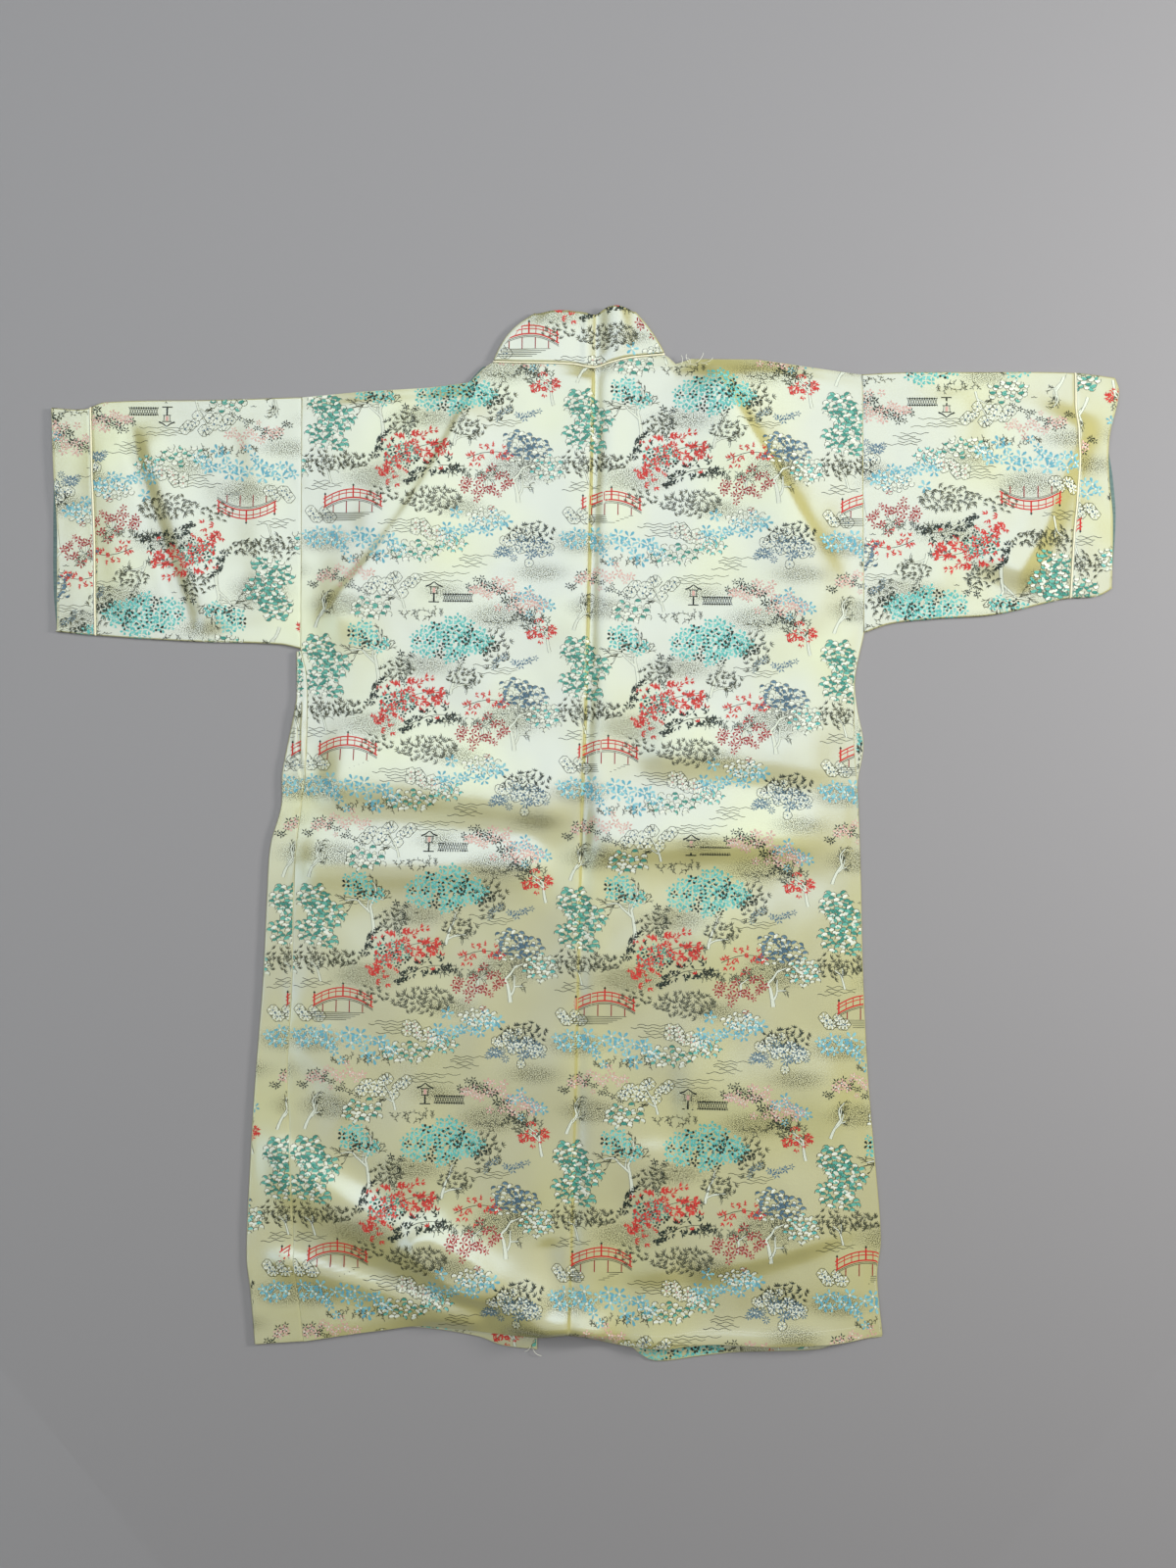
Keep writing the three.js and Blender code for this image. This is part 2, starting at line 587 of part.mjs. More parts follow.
// Piping round the cuff: along the upper wall, round the fold, along the table and back.
function cuffCord(sleeve, cuffLine) {
  const high = read(sleeve.above, 'x', 'y', cuffLine(400));
  const low = read(sleeve.below, 'x', 'y', cuffLine(170));
  const radius = (sleeveHeight - piping / 2) / 2;
  const above = steps(low + radius, high - radius, tubeCells.above).map((y) => {
    const x = cuffLine(y);
    const edge = ease(Math.min(y - low - radius, high - radius - y) / edgeDrop);
    return new THREE.Vector3(x, y, lerp(sleeveHeight, upperHeight(x, y), edge));
  });
  const below = steps(high - radius, low + radius, tubeCells.below).map((y) => (
    new THREE.Vector3(cuffLine(y), y, piping / 2)));
  const topFold = foldPoints(cuffLine(high), high, { x: 0, y: 1 }, piping / 2, sleeveHeight, foldCells);
  const lowFold = foldPoints(cuffLine(low), low, { x: 0, y: -1 }, piping / 2, sleeveHeight, foldCells);
  const side = new THREE.Vector3(1, 0, 0);
  return cordAlong([...above, ...topFold.reverse(), ...below, ...lowFold], piping, side, true);
}

// ---- collar ----

// Fold beside the neck: where the band turns under, w of the way from its seam to its free edge.
const collarFolds = {
  left: { neck: { x: -80, y: 416 }, tip: { x: -43, y: 460 }, out: { x: -0.765, y: 0.643 } },
  right: { neck: { x: 74, y: 424 }, tip: { x: 47, y: 462 }, out: { x: 0.8, y: 0.6 } },
};
const bandShift = 1.0;         // keeps the turn of the band clear of the piping at its corner
const bandLow = collarPly / 2;
const bandHigh = bandLow + collarPly + 0.5;

function foldEdge(side, w) {
  const { neck, tip, out } = collarFolds[side];
  const bulge = collarBulge * Math.sin(Math.PI * w) * (side === 'left' ? 1 : 0.3);
  const start = { x: neck.x - Math.sign(out.x) * bandShift, y: neck.y + pipingRoom + bandShift };
  return { x: lerp(start.x, tip.x, w) + bulge * out.x, y: lerp(start.y, tip.y, w) + bulge * out.y };
}

// Band under the back, from the fold beside the neck down to its tip on the front edge.
function collarLeg(side, w) {
  const inward = side === 'left' ? 1 : -1;
  const { out } = collarFolds[side];
  const edge = foldEdge(side, w);
  const radius = (bandHigh - bandLow) / 2;
  const { end } = frontEdges[side];
  const foot = { x: end.x + inward * (pipingRoom + collarTip * w), y: end.y + 4 };
  return steps(0, 1, bandCells.leg).map((t) => (
    new THREE.Vector3(lerp(edge.x - out.x * radius, foot.x, t), lerp(edge.y - out.y * radius, foot.y, t), bandLow)));
}

function collarHeight(x, w) {
  const seamRun = ease(w / 0.2);
  let height = bandHigh;
  for (const swell of collarSwells) {
    const added = swell.rise * flank(x - swell.x, x < swell.x ? swell.left : swell.right);
    height += added * lerp(0.55, 1, seamRun);
  }
  return Math.max(height, bandLow);
}

function collar() {
  const grid = steps(0, 1, bandCells.across).map((w) => {
    const left = foldEdge('left', w);
    const right = foldEdge('right', w);
    const radius = (bandHigh - bandLow) / 2;
    const outLeft = collarFolds.left.out;
    const outRight = collarFolds.right.out;
    const across = neckStations.map((station) => {
      const t = (station - neckStations[0]) / (neckStations.at(-1) - neckStations[0]);
      const x = lerp(left.x - outLeft.x * radius, right.x - outRight.x * radius, t);
      const low = read(neckSeam, 'x', 'y', station) + pipingRoom;
      const high = read(collarTop, 'x', 'y', lerp(-43, 47, t));
      const near = ease(Math.min(t, 1 - t) * 5);
      const turn = bandShift * (1 - w) - lerp(outLeft.y, outRight.y, t) * radius;
      const y = lerp(low, high, w) + lerp(turn, 0, near);
      return new THREE.Vector3(x, y, lerp(bandHigh, collarHeight(x, w), near));
    });
    const roundLeft = foldPoints(left.x, left.y, outLeft, bandLow, bandHigh, foldCells);
    const roundRight = foldPoints(right.x, right.y, outRight, bandLow, bandHigh, foldCells).reverse();
    return [...collarLeg('left', w).reverse(), ...roundLeft, ...across, ...roundRight, ...collarLeg('right', w)];
  });
  return clothWall(grid, collarPly);
}

// Piping in the neck seam across the back.
function neckCord() {
  const points = neckStations.map((station) => {
    const t = (station - neckStations[0]) / (neckStations.at(-1) - neckStations[0]);
    const near = ease(Math.min(t, 1 - t) * 5);
    return new THREE.Vector3(station, read(neckSeam, 'x', 'y', station), lerp(bandHigh, collarHeight(station, 0), near));
  });
  return cordAlong(points, piping, new THREE.Vector3(0, 0, 1));
}

// Piping in the seam between a front and the collar band, on the table.
function frontCord(side) {
  const { neck, end } = frontEdges[side];
  const points = steps(0.012, 0.965, 12).map((t) => (
    new THREE.Vector3(lerp(neck.x, end.x, t), lerp(neck.y, end.y, t), piping / 2)));
  return cordAlong(points, piping, new THREE.Vector3(0, 0, 1));
}

// ---- materials and pieces ----

const brocade = new THREE.MeshStandardMaterial({ color: 0xd6d8b4, roughness: 0.42, metalness: 0, name: 'brocade' });
const cord = new THREE.MeshStandardMaterial({ color: 0xeee8c6, roughness: 0.5, metalness: 0, name: 'piping' });

const garment = new THREE.Group();
function addPiece(name, geometry, material) {
  geometry.computeVertexNormals();
  const mesh = new THREE.Mesh(geometry, material);
  mesh.name = name;
  garment.add(mesh);
}

addPiece('back', clothWall(backGrid(), cloth), brocade);
addPiece('front_left', leftFront(), brocade);
addPiece('front_right', rightFront(), brocade);

const leftArm = sleeveParts(leftSleeve, (y) => readStraight(leftArmhole, 'y', 'x', y), -1);
const rightArm = sleeveParts(rightSleeve, (y) => readStraight(rightArmhole, 'y', 'x', y), 1);
addPiece('sleeve_left', leftArm.main, brocade);
addPiece('sleeve_right', rightArm.main, brocade);
addPiece('cuff_left', leftArm.cuff, brocade);
addPiece('cuff_right', rightArm.cuff, brocade);
addPiece('piping_cuff_left', leftArm.cord, cord);
addPiece('piping_cuff_right', rightArm.cord, cord);

addPiece('collar', collar(), brocade);
addPiece('piping_neck', neckCord(), cord);
addPiece('piping_front_left', frontCord('left'), cord);
addPiece('piping_front_right', frontCord('right'), cord);

export default garment;
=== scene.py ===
import math

import bpy
import numpy as np
from mathutils import Matrix, Vector


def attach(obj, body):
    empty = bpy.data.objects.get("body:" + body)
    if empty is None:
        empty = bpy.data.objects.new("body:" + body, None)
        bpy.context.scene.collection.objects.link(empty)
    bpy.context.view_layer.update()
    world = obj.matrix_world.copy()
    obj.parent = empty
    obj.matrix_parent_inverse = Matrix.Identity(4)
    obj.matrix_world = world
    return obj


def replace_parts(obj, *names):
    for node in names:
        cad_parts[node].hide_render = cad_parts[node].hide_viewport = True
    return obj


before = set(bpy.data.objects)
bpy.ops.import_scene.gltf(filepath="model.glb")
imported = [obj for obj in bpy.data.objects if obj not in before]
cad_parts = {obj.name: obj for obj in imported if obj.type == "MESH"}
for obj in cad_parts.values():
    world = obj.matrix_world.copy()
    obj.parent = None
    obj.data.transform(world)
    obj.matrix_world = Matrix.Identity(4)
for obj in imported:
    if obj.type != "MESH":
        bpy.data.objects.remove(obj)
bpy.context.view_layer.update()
print("stage: frame loaded, nodes", len(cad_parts))

# A silk brocade jacket laid flat with its back up. Sizes are in millimetres, in the frame's axes:
# +X to the wearer's right, +Y to the collar, +Z up. Meshes are scaled to metres as they are made.
mm = 0.001
body = "root"

# The camera
cameraSet = {
    "place": (26.4, 5.2, 1047.2),      # above the garment, a little right of its middle
    "turn": (1.7866, 0.8405, 0.8026),  # degrees about x, y and z, from straight down
    "focal": 1202.0,                   # in pixels of a 1200 x 1600 frame
    "longSide": 1600.0,
}


def makeCamera(cam):
    # lens = focal length in pixels over the frame's long side, times the sensor's width
    data = bpy.data.cameras.new("camera")
    data.sensor_width = 36.0
    data.lens = cam["focal"] / cam["longSide"] * data.sensor_width
    camera = bpy.data.objects.new("camera", data)
    bpy.context.scene.collection.objects.link(camera)
    ax, ay, az = (math.radians(v) for v in cam["turn"])
    turn = Matrix.Rotation(az, 3, "Z") @ Matrix.Rotation(ay, 3, "Y") @ Matrix.Rotation(ax, 3, "X")
    camera.matrix_world = Matrix.Translation([v * mm for v in cam["place"]]) @ turn.to_4x4()
    bpy.context.scene.camera = camera


makeCamera(cameraSet)
bpy.context.scene.view_settings.view_transform = "Standard"

# Sizes that the pieces share
cloth = {
    "wall": 1.0,          # thickness of the solids
    "ply": 0.42,          # and of the cloth that takes their place
    "face": 0.28,         # from a wall's middle to the cloth's right side
    "seam": 0.3,          # gap between pieces that are only laid together
    "sewn": 0.08,         # and between pieces that are sewn
    "piping": 1.6,        # thickness of the cords
}
collarLay = {
    "ply": 1.6,           # thickness of the folded band
    "low": 0.8,           # middle of its legs under the back
    "high": 2.9,          # and of the part across the neck
    "shift": 1.0,         # how far its folds stand off the neck seam's ends
    "tip": 8.0,           # width at the lower ends
    "bulge": 5.5,
}
pipingRoom = cloth["piping"] / 2 + cloth["seam"]
heights = {
    "sleeve": 2.7,        # middle of a tube's upper wall
    "body": 4.2,          # middle of the back
    "seam": 1.8,          # middle of the back where it lies on a front
    "swell": 45.0,        # run from sleeve height to body height
    "edgeDrop": 14.0,     # run down to a seam
    "hemDrop": 7.0,       # and to the hem
    "hemLift": 1.7,       # of the back's hem over the fronts, at the left
    "hemRise": 6.5,       # and most at the right, between these stations
    "hemStations": (30.0, 90.0, 230.0, 266.0),
    "neckClear": 34.0,    # stretch of shoulder beside the neck that stays up
    "sideRun": 40.0,      # run from the side fold over which creases die out
    "rightRun": 74.0,     # the same from the right seam
    "tubeRise": 6.0,      # most that creases lift a tube's wall
    "wrapMost": 8.6,      # most height over the left front's own fold
    "bodyMost": 18.5,     # and over the body
    "seamDip": 0.16,      # groove along a sewn seam
    "pucker": 0.2,        # ripples beside it
}
underarm = {"left": 153.0, "right": 175.0}

leftSide = {
    "y": [-458, -412, -383, -311, -230, -141, -62, -21, 15, 43, 108, 135, 153],
    "seam": [-232, -238, -242, -245, -251, -249, -249, -248, -244, -241, -241, -243, -248],
    "fold": [-275, -280, -284, -283, -280, -275, -273, -271, -262, -262, -251, -251, -251.5],
}
rightSide = {
    "y": [-439, -389, -357, -284, -218, -128, -29, 40, 76, 109, 135, 175],
    "seam": [274, 269, 272, 266, 260, 255, 252, 249, 246, 246, 246, 254],
    "front": [274, 269, 272, 266, 260, 255, 252, 249, 254, 248, 246, 254],
}
armholes = {
    "left": {"y": [153, 382], "x": [-248, -252]},
    "right": {"y": [175, 407], "x": [254, 251]},
}
shoulders = {
    "x": [-254, -196, -138, -101, -89, -80, 74, 84, 98, 157, 186, 251],
    "y": [382, 388, 392, 397, 409, 416, 424, 415, 420, 420, 416, 407],
}
neckSeam = {"x": [-80, -40, -7, 9, 27, 47, 74], "y": [416, 415, 414, 411.5, 416, 421, 424]}
collarTop = {"x": [-43, -20, -2, 10, 24, 40, 47], "y": [460, 462, 461, 459, 465.5, 465, 462]}
neckEnds, tipEnds = ((line["x"][0], line["x"][-1]) for line in (neckSeam, collarTop))
shoulderStarts = {"left": -84, "right": 79}      # where the fronts' shoulder lines leave the neck
backHem = {
    "x": [-241, -200, -160, -127, -26, 3, 51, 81, 124, 180, 238, 274],
    "y": [-456, -449, -443, -439, -447, -445, -452, -453, -448, -449, -445, -439],
}
leftFrontHem = {
    "x": [-275, -238, -170, -119, -78, -58, -27],
    "y": [-458, -455, -441, -442, -448, -455, -458],
}
rightFrontHem = {
    "x": [57, 64, 72, 84, 111, 141, 209, 227, 274],
    "y": [-455, -461, -465, -465.5, -461, -457, -453, -447, -439],
}
centreCrease = {"y": [-445, -222, 0, 154, 411], "x": [2, 5, 7, 10, 12]}
creaseLow, creaseHigh = centreCrease["y"][0], centreCrease["y"][-1]
frontEdges = {
    "left": {"neck": (-80, 416), "end": (-27, 65), "hem": -27},
    "right": {"neck": (74, 424), "end": (44, 65), "hem": 57},
}
frontLow = -465      # y from which the front edges lean towards the collar's ends
leftSleeve = {
    "above": {"x": [-479, -443, -425, -326, -253], "y": [371, 369.5, 376, 379, 382]},
    "below": {"x": [-479, -433, -354, -269, -244], "y": [169, 165, 161, 159, 154]},
    "cuffSeam": {"y": [165, 247, 302, 370], "x": [-433, -436, -439, -443]},
    "endAbove": {"y": [169, 205, 265, 309, 371], "x": [-467.5, -468.5, -470.5, -474.5, -478.3]},
    "endBelow": {"y": [169, 205, 265, 309, 371], "x": [-468.5, -472.5, -474.5, -475.5, -478.3]},
}
rightSleeve = {
    "above": {"x": [251, 285, 354, 439, 479], "y": [407, 409, 410, 410, 405]},
    "below": {"x": [251, 278, 321, 372, 436, 463, 479], "y": [175, 184, 189, 193, 208, 211, 222]},
    "cuffSeam": {"y": [207, 263, 324, 350, 410], "x": [436, 439, 443, 441, 440]},
    "endAbove": {"y": [211, 281, 316, 351, 393, 406], "x": [472, 473, 470, 470, 478.7, 475]},
    "endBelow": {"y": [211, 281, 316, 351, 393, 406], "x": [472, 476.5, 474, 470, 478.7, 475]},
}

# A crease a row: x and y of both ends, the bow to its left, its rise, and its left and right flanks
bodyCreases = (
    (108, 424, 255, 186, -2, 4.2, 6, 55),
    (108, 424, 255, 186, -2, 4.8, 22, 40),
    (-93, 395, -248, 164, 14, 2.6, 60, 5),
    (-93, 395, -248, 164, 14, 3.6, 40, 30),
    (-240, 37, 4, 9, 4, 7.6, 45, 17),
    (50, 66, 256, 51, 0, 5.2, 42, 13),
    (-262, -39, -14, -36, 0, 7.0, 24, 20),
    (-2, -19, 262, -10, 3, 8.6, 32, 16),
    (-330, -252, -52, -410, -4, 8.4, 16, 30),
    (-150, -356, 44, -467, -2, 13.0, 30, 20),
    (-280, -376, -60, -438, 2, 5.0, 8, 15),
    (40, -467, 300, -449, 3, 7.5, 19, 12),
    (96, -391, 274, -337, -4, 4.8, 34, 9),
    (70, -268, 78, -404, 4, 3.0, 22, 24),
    (84, -240, 262, -222, 5, 5.0, 46, 46),
    (-262, -150, -60, -176, 4, 2.4, 40, 30),
    (-150, 380, -196, 250, 4, 2.0, 24, 14),
    (-246, -190, -190, -262, 6, 2.2, 22, 14),
    (28, -110, 240, -128, 6, 2.4, 40, 30),
    (-10, -430, -20, -360, 0, -2.6, 12, 12),
)
sleeveCreases = (
    (-411, 362, -343, 160, -3, -2.6, 7, 7),
    (-396, 362, -322, 160, -3, 3.6, 22, 11),
    (-438, 352, -396, 160, 0, 1.2, 18, 14),
    (450, 378, 378, 212, 3, 6.2, 13, 46),
    (452, 300, 376, 240, 0, 1.0, 12, 10),
    (300, 404, 318, 196, 6, 2.0, 34, 26),
    (-300, 372, -288, 166, 8, 1.6, 18, 12),
    (330, 400, 372, 262, -5, 1.8, 20, 22),
    (386, 206, 452, 198, 2, -1.6, 8, 8),
)
centreTrough = {
    "depth": 4.7, "left": 1.9, "right": 8.0,
    "lip": 2.5, "lipLeft": 30.0, "lipRight": 32.0,      # the cloth stands a little on both sides of it
    "lowest": 0.55, "fades": (-60.0, 20.0),
}
tuck = {"x": -246.5, "y": (22.0, 108.0), "bow": 5.0, "depth": 2.6, "wide": 1.7, "ridge": 2.4, "lip": 5.0}
creaseEnd = 0.14
# Swells along the collar: x, rise, and left and right flanks
collarSwells = (
    (-26, 2.2, 26, 24),
    (3.5, 1.3, 3.2, 2.6),
    (12.5, -2.3, 2.4, 9),
    (33, 4.2, 16, 13),
)

# Reading tables and curves
def read(rows, t, along="x", column="y"):
    # smooth curve through the rows: cubic with, at each row, the slope between its neighbours
    a, b = np.array(rows[along], float), np.array(rows[column], float)
    t = np.asarray(t, float)
    ahead, behind = np.minimum(np.arange(len(a)) + 1, len(a) - 1), np.maximum(np.arange(len(a)) - 1, 0)
    slope = (b[ahead] - b[behind]) / (a[ahead] - a[behind])
    k = np.searchsorted(a[1:-1], t)
    span = a[k + 1] - a[k]
    s = np.clip((t - a[k]) / span, 0, 1)
    return ((2 * s**3 - 3 * s**2 + 1) * b[k] + (s**3 - 2 * s**2 + s) * span * slope[k]
            + (3 * s**2 - 2 * s**3) * b[k + 1] + (s**3 - s**2) * span * slope[k + 1])


def readStraight(rows, t, along="x", column="y"):
    # the same with straight lines
    return np.interp(t, rows[along], rows[column])


def lerp(a, b, t):
    return a + (b - a) * t


def ease(t):
    # 3t^2 - 2t^3 between 0 and 1
    t = np.clip(t, 0, 1)
    return t * t * (3 - 2 * t)


def flank(d, left, right):
    # bell of width left where d < 0 and right where d > 0
    return np.exp(-((d / np.where(d < 0, left, right)) ** 2))


def ripple(x, y, wave, seed, count=14):
    # sum of plane waves of about the given wavelength, in random directions, from -1 to 1
    rng = np.random.default_rng(seed)
    turn = rng.uniform(0, 2 * math.pi, count)
    k = 2 * math.pi / (wave * rng.uniform(0.7, 1.5, count))
    phase = rng.uniform(0, 2 * math.pi, count)
    total = np.zeros(np.broadcast(x, y).shape)
    for a, b, c in zip(k * np.cos(turn), k * np.sin(turn), phase):
        total = total + np.cos(a * x + b * y + c)
    return total / math.sqrt(count / 2) / 2


# Height of the upper layer
def leftEdge(y):
    # side seam up to the underarm, armhole seam over it
    armhole = readStraight(armholes["left"], y, "y", "x")
    return np.where(y < underarm["left"], read(leftSide, y, "y", "seam"), armhole)


def rightEdge(y):
    armhole = readStraight(armholes["right"], y, "y", "x")
    return np.where(y < underarm["right"], read(rightSide, y, "y", "seam"), armhole)


def wrapDepth(y):
    # how far the left front reaches past its side seam
    return np.where(y > underarm["left"], 0, leftEdge(y) - read(leftSide, y, "y", "fold"))


def creaseSum(rows, x, y):
    # each crease: rise x fade at its ends x bell across it, with the distance measured from its bow
    total = np.zeros(np.broadcast(x, y).shape)
    for x0, y0, x1, y1, bow, rise, left, right in rows:
        dx, dy = x1 - x0, y1 - y0
        length = math.hypot(dx, dy)
        along = np.clip(((x - x0) * dx + (y - y0) * dy) / length**2, 0, 1)
        aside = ((y - y0) * dx - (x - x0) * dy) / length - bow * 4 * along * (1 - along)
        fade = ease(along / creaseEnd) * ease((1 - along) / creaseEnd)
        total = total + rise * fade * flank(-aside, left, right)
    return total


def upperHeight(x, y):
    # middle of the upper wall: swells from the sleeves to the body, with creases and soft ripples
    armLeft, armRight = leftEdge(y), rightEdge(y)
    inBody = ease((x - armLeft) / heights["swell"]) * ease((armRight - x) / heights["swell"])
    side = ease((x - armLeft + wrapDepth(y)) / heights["sideRun"])
    height = lerp(heights["sleeve"], heights["body"], inBody)
    height = height + creaseSum(bodyCreases, x, y) * side * ease((armRight - x) / heights["rightRun"])
    off = x - read(centreCrease, y, "y", "x")
    low, high = centreTrough["fades"]
    depth = centreTrough["depth"] * lerp(centreTrough["lowest"], 1, ease((y - low) / (high - low)))
    height = height + centreTrough["lip"] * flank(off, centreTrough["lipLeft"], centreTrough["lipRight"])
    height = height - depth * flank(off, centreTrough["left"], centreTrough["right"])
    most = lerp(heights["wrapMost"], heights["bodyMost"], ease((x - armLeft) / heights["swell"]))
    tube = np.minimum(creaseSum(sleeveCreases, x, y), heights["tubeRise"])
    soft = (0.3 + (0.6 + 0.7 * ease(-y / 120)) * inBody) * ripple(x, y, 85, 3) + 0.16 * ripple(x, y, 26, 4)
    height = np.clip(height + tube + soft, heights["seam"] + 0.2, most)
    for off in (x - armLeft, armRight - x):
        height = height - heights["seamDip"] * flank(off, 1.1, 1.1)
        height = height + heights["pucker"] * flank(off, 7, 7) * ripple(x, y, 9, 5)
    return height - tuckDepth(x, y)


def tuckDepth(x, y):
    # groove of the tuck beside the left seam, between two soft lips: a bell about a bowed line
    low, high = tuck["y"]
    t = np.clip((y - low) / (high - low), 0, 1)
    off = x - tuck["x"] - tuck["bow"] * (1.4 * (1 - t) - math.pi / 4 * np.sin(math.pi * t))
    fade = np.sin(math.pi * t) ** 0.6
    lips = tuck["ridge"] * flank(off, tuck["lip"], tuck["lip"])
    return fade * (tuck["depth"] * flank(off, tuck["wide"], tuck["wide"]) - lips)


def collarHeight(x, w):
    # the band's height, with its swells, which are lower at the seam
    height = collarLay["high"] + np.zeros(np.broadcast(x, w).shape)
    for at, rise, left, right in collarSwells:
        height = height + rise * flank(x - at, left, right) * lerp(0.55, 1, ease(w / 0.2))
    return height


def backHeight(x, y, above, below):
    # the upper height, brought down to the fronts at the edges and to the collar at the neck
    shoulder = ease(np.maximum(neckEnds[0] - x, x - neckEnds[1]) / heights["neckClear"])
    top = lerp(collarHeight(x, 0), heights["seam"], shoulder)
    height = lerp(top, upperHeight(x, y), ease((above - y) / heights["edgeDrop"]))
    a, b, c, d = heights["hemStations"]
    lift = lerp(heights["hemLift"], heights["hemRise"], ease((x - a) / (b - a)) * ease((d - x) / (d - c)))
    atHem = np.minimum(height, heights["seam"] + lift)
    height = lerp(atHem, height, ease((y - below) / heights["hemDrop"]))
    inside, above = rightEdge(y) - x, y - underarm["right"]
    atSide = np.maximum(ease(inside / heights["edgeDrop"]), ease(above / heights["edgeDrop"]))
    return lerp(heights["seam"], height, atSide)


# Making meshes
def normalsOf(points, ring=False):
    # cross product of the differences along the columns and the rows
    if ring:
        across = np.roll(points, -1, 1) - np.roll(points, 1, 1)
    else:
        across = np.gradient(points, axis=1)
    normal = np.cross(across, np.gradient(points, axis=0))
    return normal / np.maximum(np.linalg.norm(normal, axis=2, keepdims=True), 1e-9)


def gridFaces(rows, columns, ring=False):
    # quads over a grid of rows x columns, counter-clockwise seen against the normal
    r = np.arange(rows - 1)[:, None]
    c = np.arange(columns if ring else columns - 1)[None, :]
    d = (c + 1) % columns
    low, high = r * columns, (r + 1) * columns
    return np.stack([low + c, low + d, high + d, high + c], -1).reshape(-1, 4)


def meshObject(name, vertices, faces, materials, uv=None, uvName="cloth", slots=None, smooth=True):
    # arrays of places in mm and of faces, all with the same number of corners
    faces = np.asarray(faces, np.int32)
    mesh = bpy.data.meshes.new(name)
    mesh.vertices.add(len(vertices))
    mesh.vertices.foreach_set("co", (np.asarray(vertices) * mm).astype(np.float32).ravel())
    corners = faces.shape[1]
    mesh.loops.add(faces.size)
    mesh.loops.foreach_set("vertex_index", faces.ravel())
    mesh.polygons.add(len(faces))
    mesh.polygons.foreach_set("loop_start", np.arange(len(faces), dtype=np.int32) * corners)
    mesh.polygons.foreach_set("loop_total", np.full(len(faces), corners, np.int32))
    for material in materials:
        mesh.materials.append(material)
    if slots is not None:
        mesh.polygons.foreach_set("material_index", np.asarray(slots, np.int32))
    if uv is not None:
        layer = mesh.uv_layers.new(name=uvName)
        layer.data.foreach_set("uv", np.asarray(uv, np.float32)[faces.ravel()].ravel())
    mesh.polygons.foreach_set("use_smooth", np.full(len(faces), smooth))
    mesh.update(calc_edges=True)
    mesh.validate()
    piece = bpy.data.objects.new(name, mesh)
    bpy.context.scene.collection.objects.link(piece)
    return piece


def shell(name, outer, cut, shift, ring=False, flip=False, keep=None, wall=None):
    # thin cloth whose right side is the given grid, with one ply of thickness behind it. Its uv map is
    # its place in the woven pattern, in repeats
    rows, columns = outer.shape[:2]
    faces = gridFaces(rows, columns, ring)
    if keep is not None:
        faces = faces[keep.reshape(-1)]
    if flip:
        faces = faces[:, ::-1]
    used = np.unique(faces)
    order = np.full(rows * columns, -1)
    order[used] = np.arange(len(used))
    piece = meshObject(name, outer.reshape(-1, 3)[used], order[faces], [ground, reverse],
                       (cut.reshape(-1, 2)[used] - shift) / list(repeat.values()))
    ply = piece.modifiers.new("ply", "SOLIDIFY")
    ply.thickness = (wall or cloth["ply"]) * mm
    ply.offset = -1
    ply.material_offset = 1
    even = piece.modifiers.new("even", "WEIGHTED_NORMAL")      # keeps the thin rim from shading the face
    even.mode = "FACE_AREA"
    even.weight = 92
    return piece


def sheetArea(outer):
    # area of the grid in square metres, from the diagonals of its cells
    a = outer[1:, 1:] - outer[:-1, :-1]
    b = outer[1:, :-1] - outer[:-1, 1:]
    return float(np.linalg.norm(np.cross(a, b), axis=2).sum() / 2 * mm * mm)


# Materials
repeat = {"width": 231.0, "height": 222.0}      # of the woven pattern


def newMaterial(name):
    material = bpy.data.materials.new(name)
    material.use_nodes = True
    return material, material.node_tree, material.node_tree.nodes["Principled BSDF"]


def feed(tree, node, inputs):
    # each input takes a value, or another node's output
    for key, value in inputs.items():
        if isinstance(value, bpy.types.NodeSocket):
            tree.links.new(value, node.inputs[key])
        else:
            node.inputs[key].default_value = value


def addNode(tree, kind, inputs=None, **settings):
    made = tree.nodes.new("ShaderNode" + kind)
    for key, value in settings.items():
        setattr(made, key, value)
    feed(tree, made, inputs or {})
    return made


def mathNode(tree, operation, *terms, kind="Math", **settings):
    made = addNode(tree, kind, dict(enumerate(terms)), operation=operation, **settings)
    return made.outputs["Value" if operation == "LENGTH" else 0]


def vectorNode(tree, operation, *terms):
    return mathNode(tree, operation, *terms, kind="VectorMath")


def mixNode(tree, share, first, second):
    # blend of two colours
    return addNode(tree, "Mix", {"Factor": share, 6: first, 7: second}, data_type="RGBA").outputs[2]


def noiseNode(tree, place, stretch=None, **inputs):
    # cloudy noise over the place, which is first stretched if that is asked
    if stretch:
        place = addNode(tree, "Mapping", {"Vector": place, "Scale": stretch}).outputs["Vector"]
    return addNode(tree, "TexNoise", {"Vector": place, **inputs}).outputs["Fac"]


def srgb(r, g, b):
    # screen values 0..255 to linear light
    c = np.array([r, g, b]) / 255.0
    return tuple(float(v) for v in np.where(c <= 0.04045, c / 12.92, ((c + 0.055) / 1.055) ** 2.4)) + (1.0,)


groundLook = {
    "shade": srgb(184, 175, 98),      # olive gold where the satin doesn't catch the light
    "shadeTwo": srgb(206, 198, 126),
    "tint": srgb(209, 228, 255),      # cool light that the floats throw back
    "tintTwo": srgb(212, 232, 236),   # and the same where the floats lie less flat
    "stipple": srgb(50, 50, 32),
    "roughness": 0.34,
    "anisotropic": 0.35,
    "ior": 2.45,
    "level": 1.0,
    "weave": (((1.0, 0.08, 1.0), 2600.0), ((0.06, 1.0, 1.0), 900.0)),      # warp ribs and picks
}
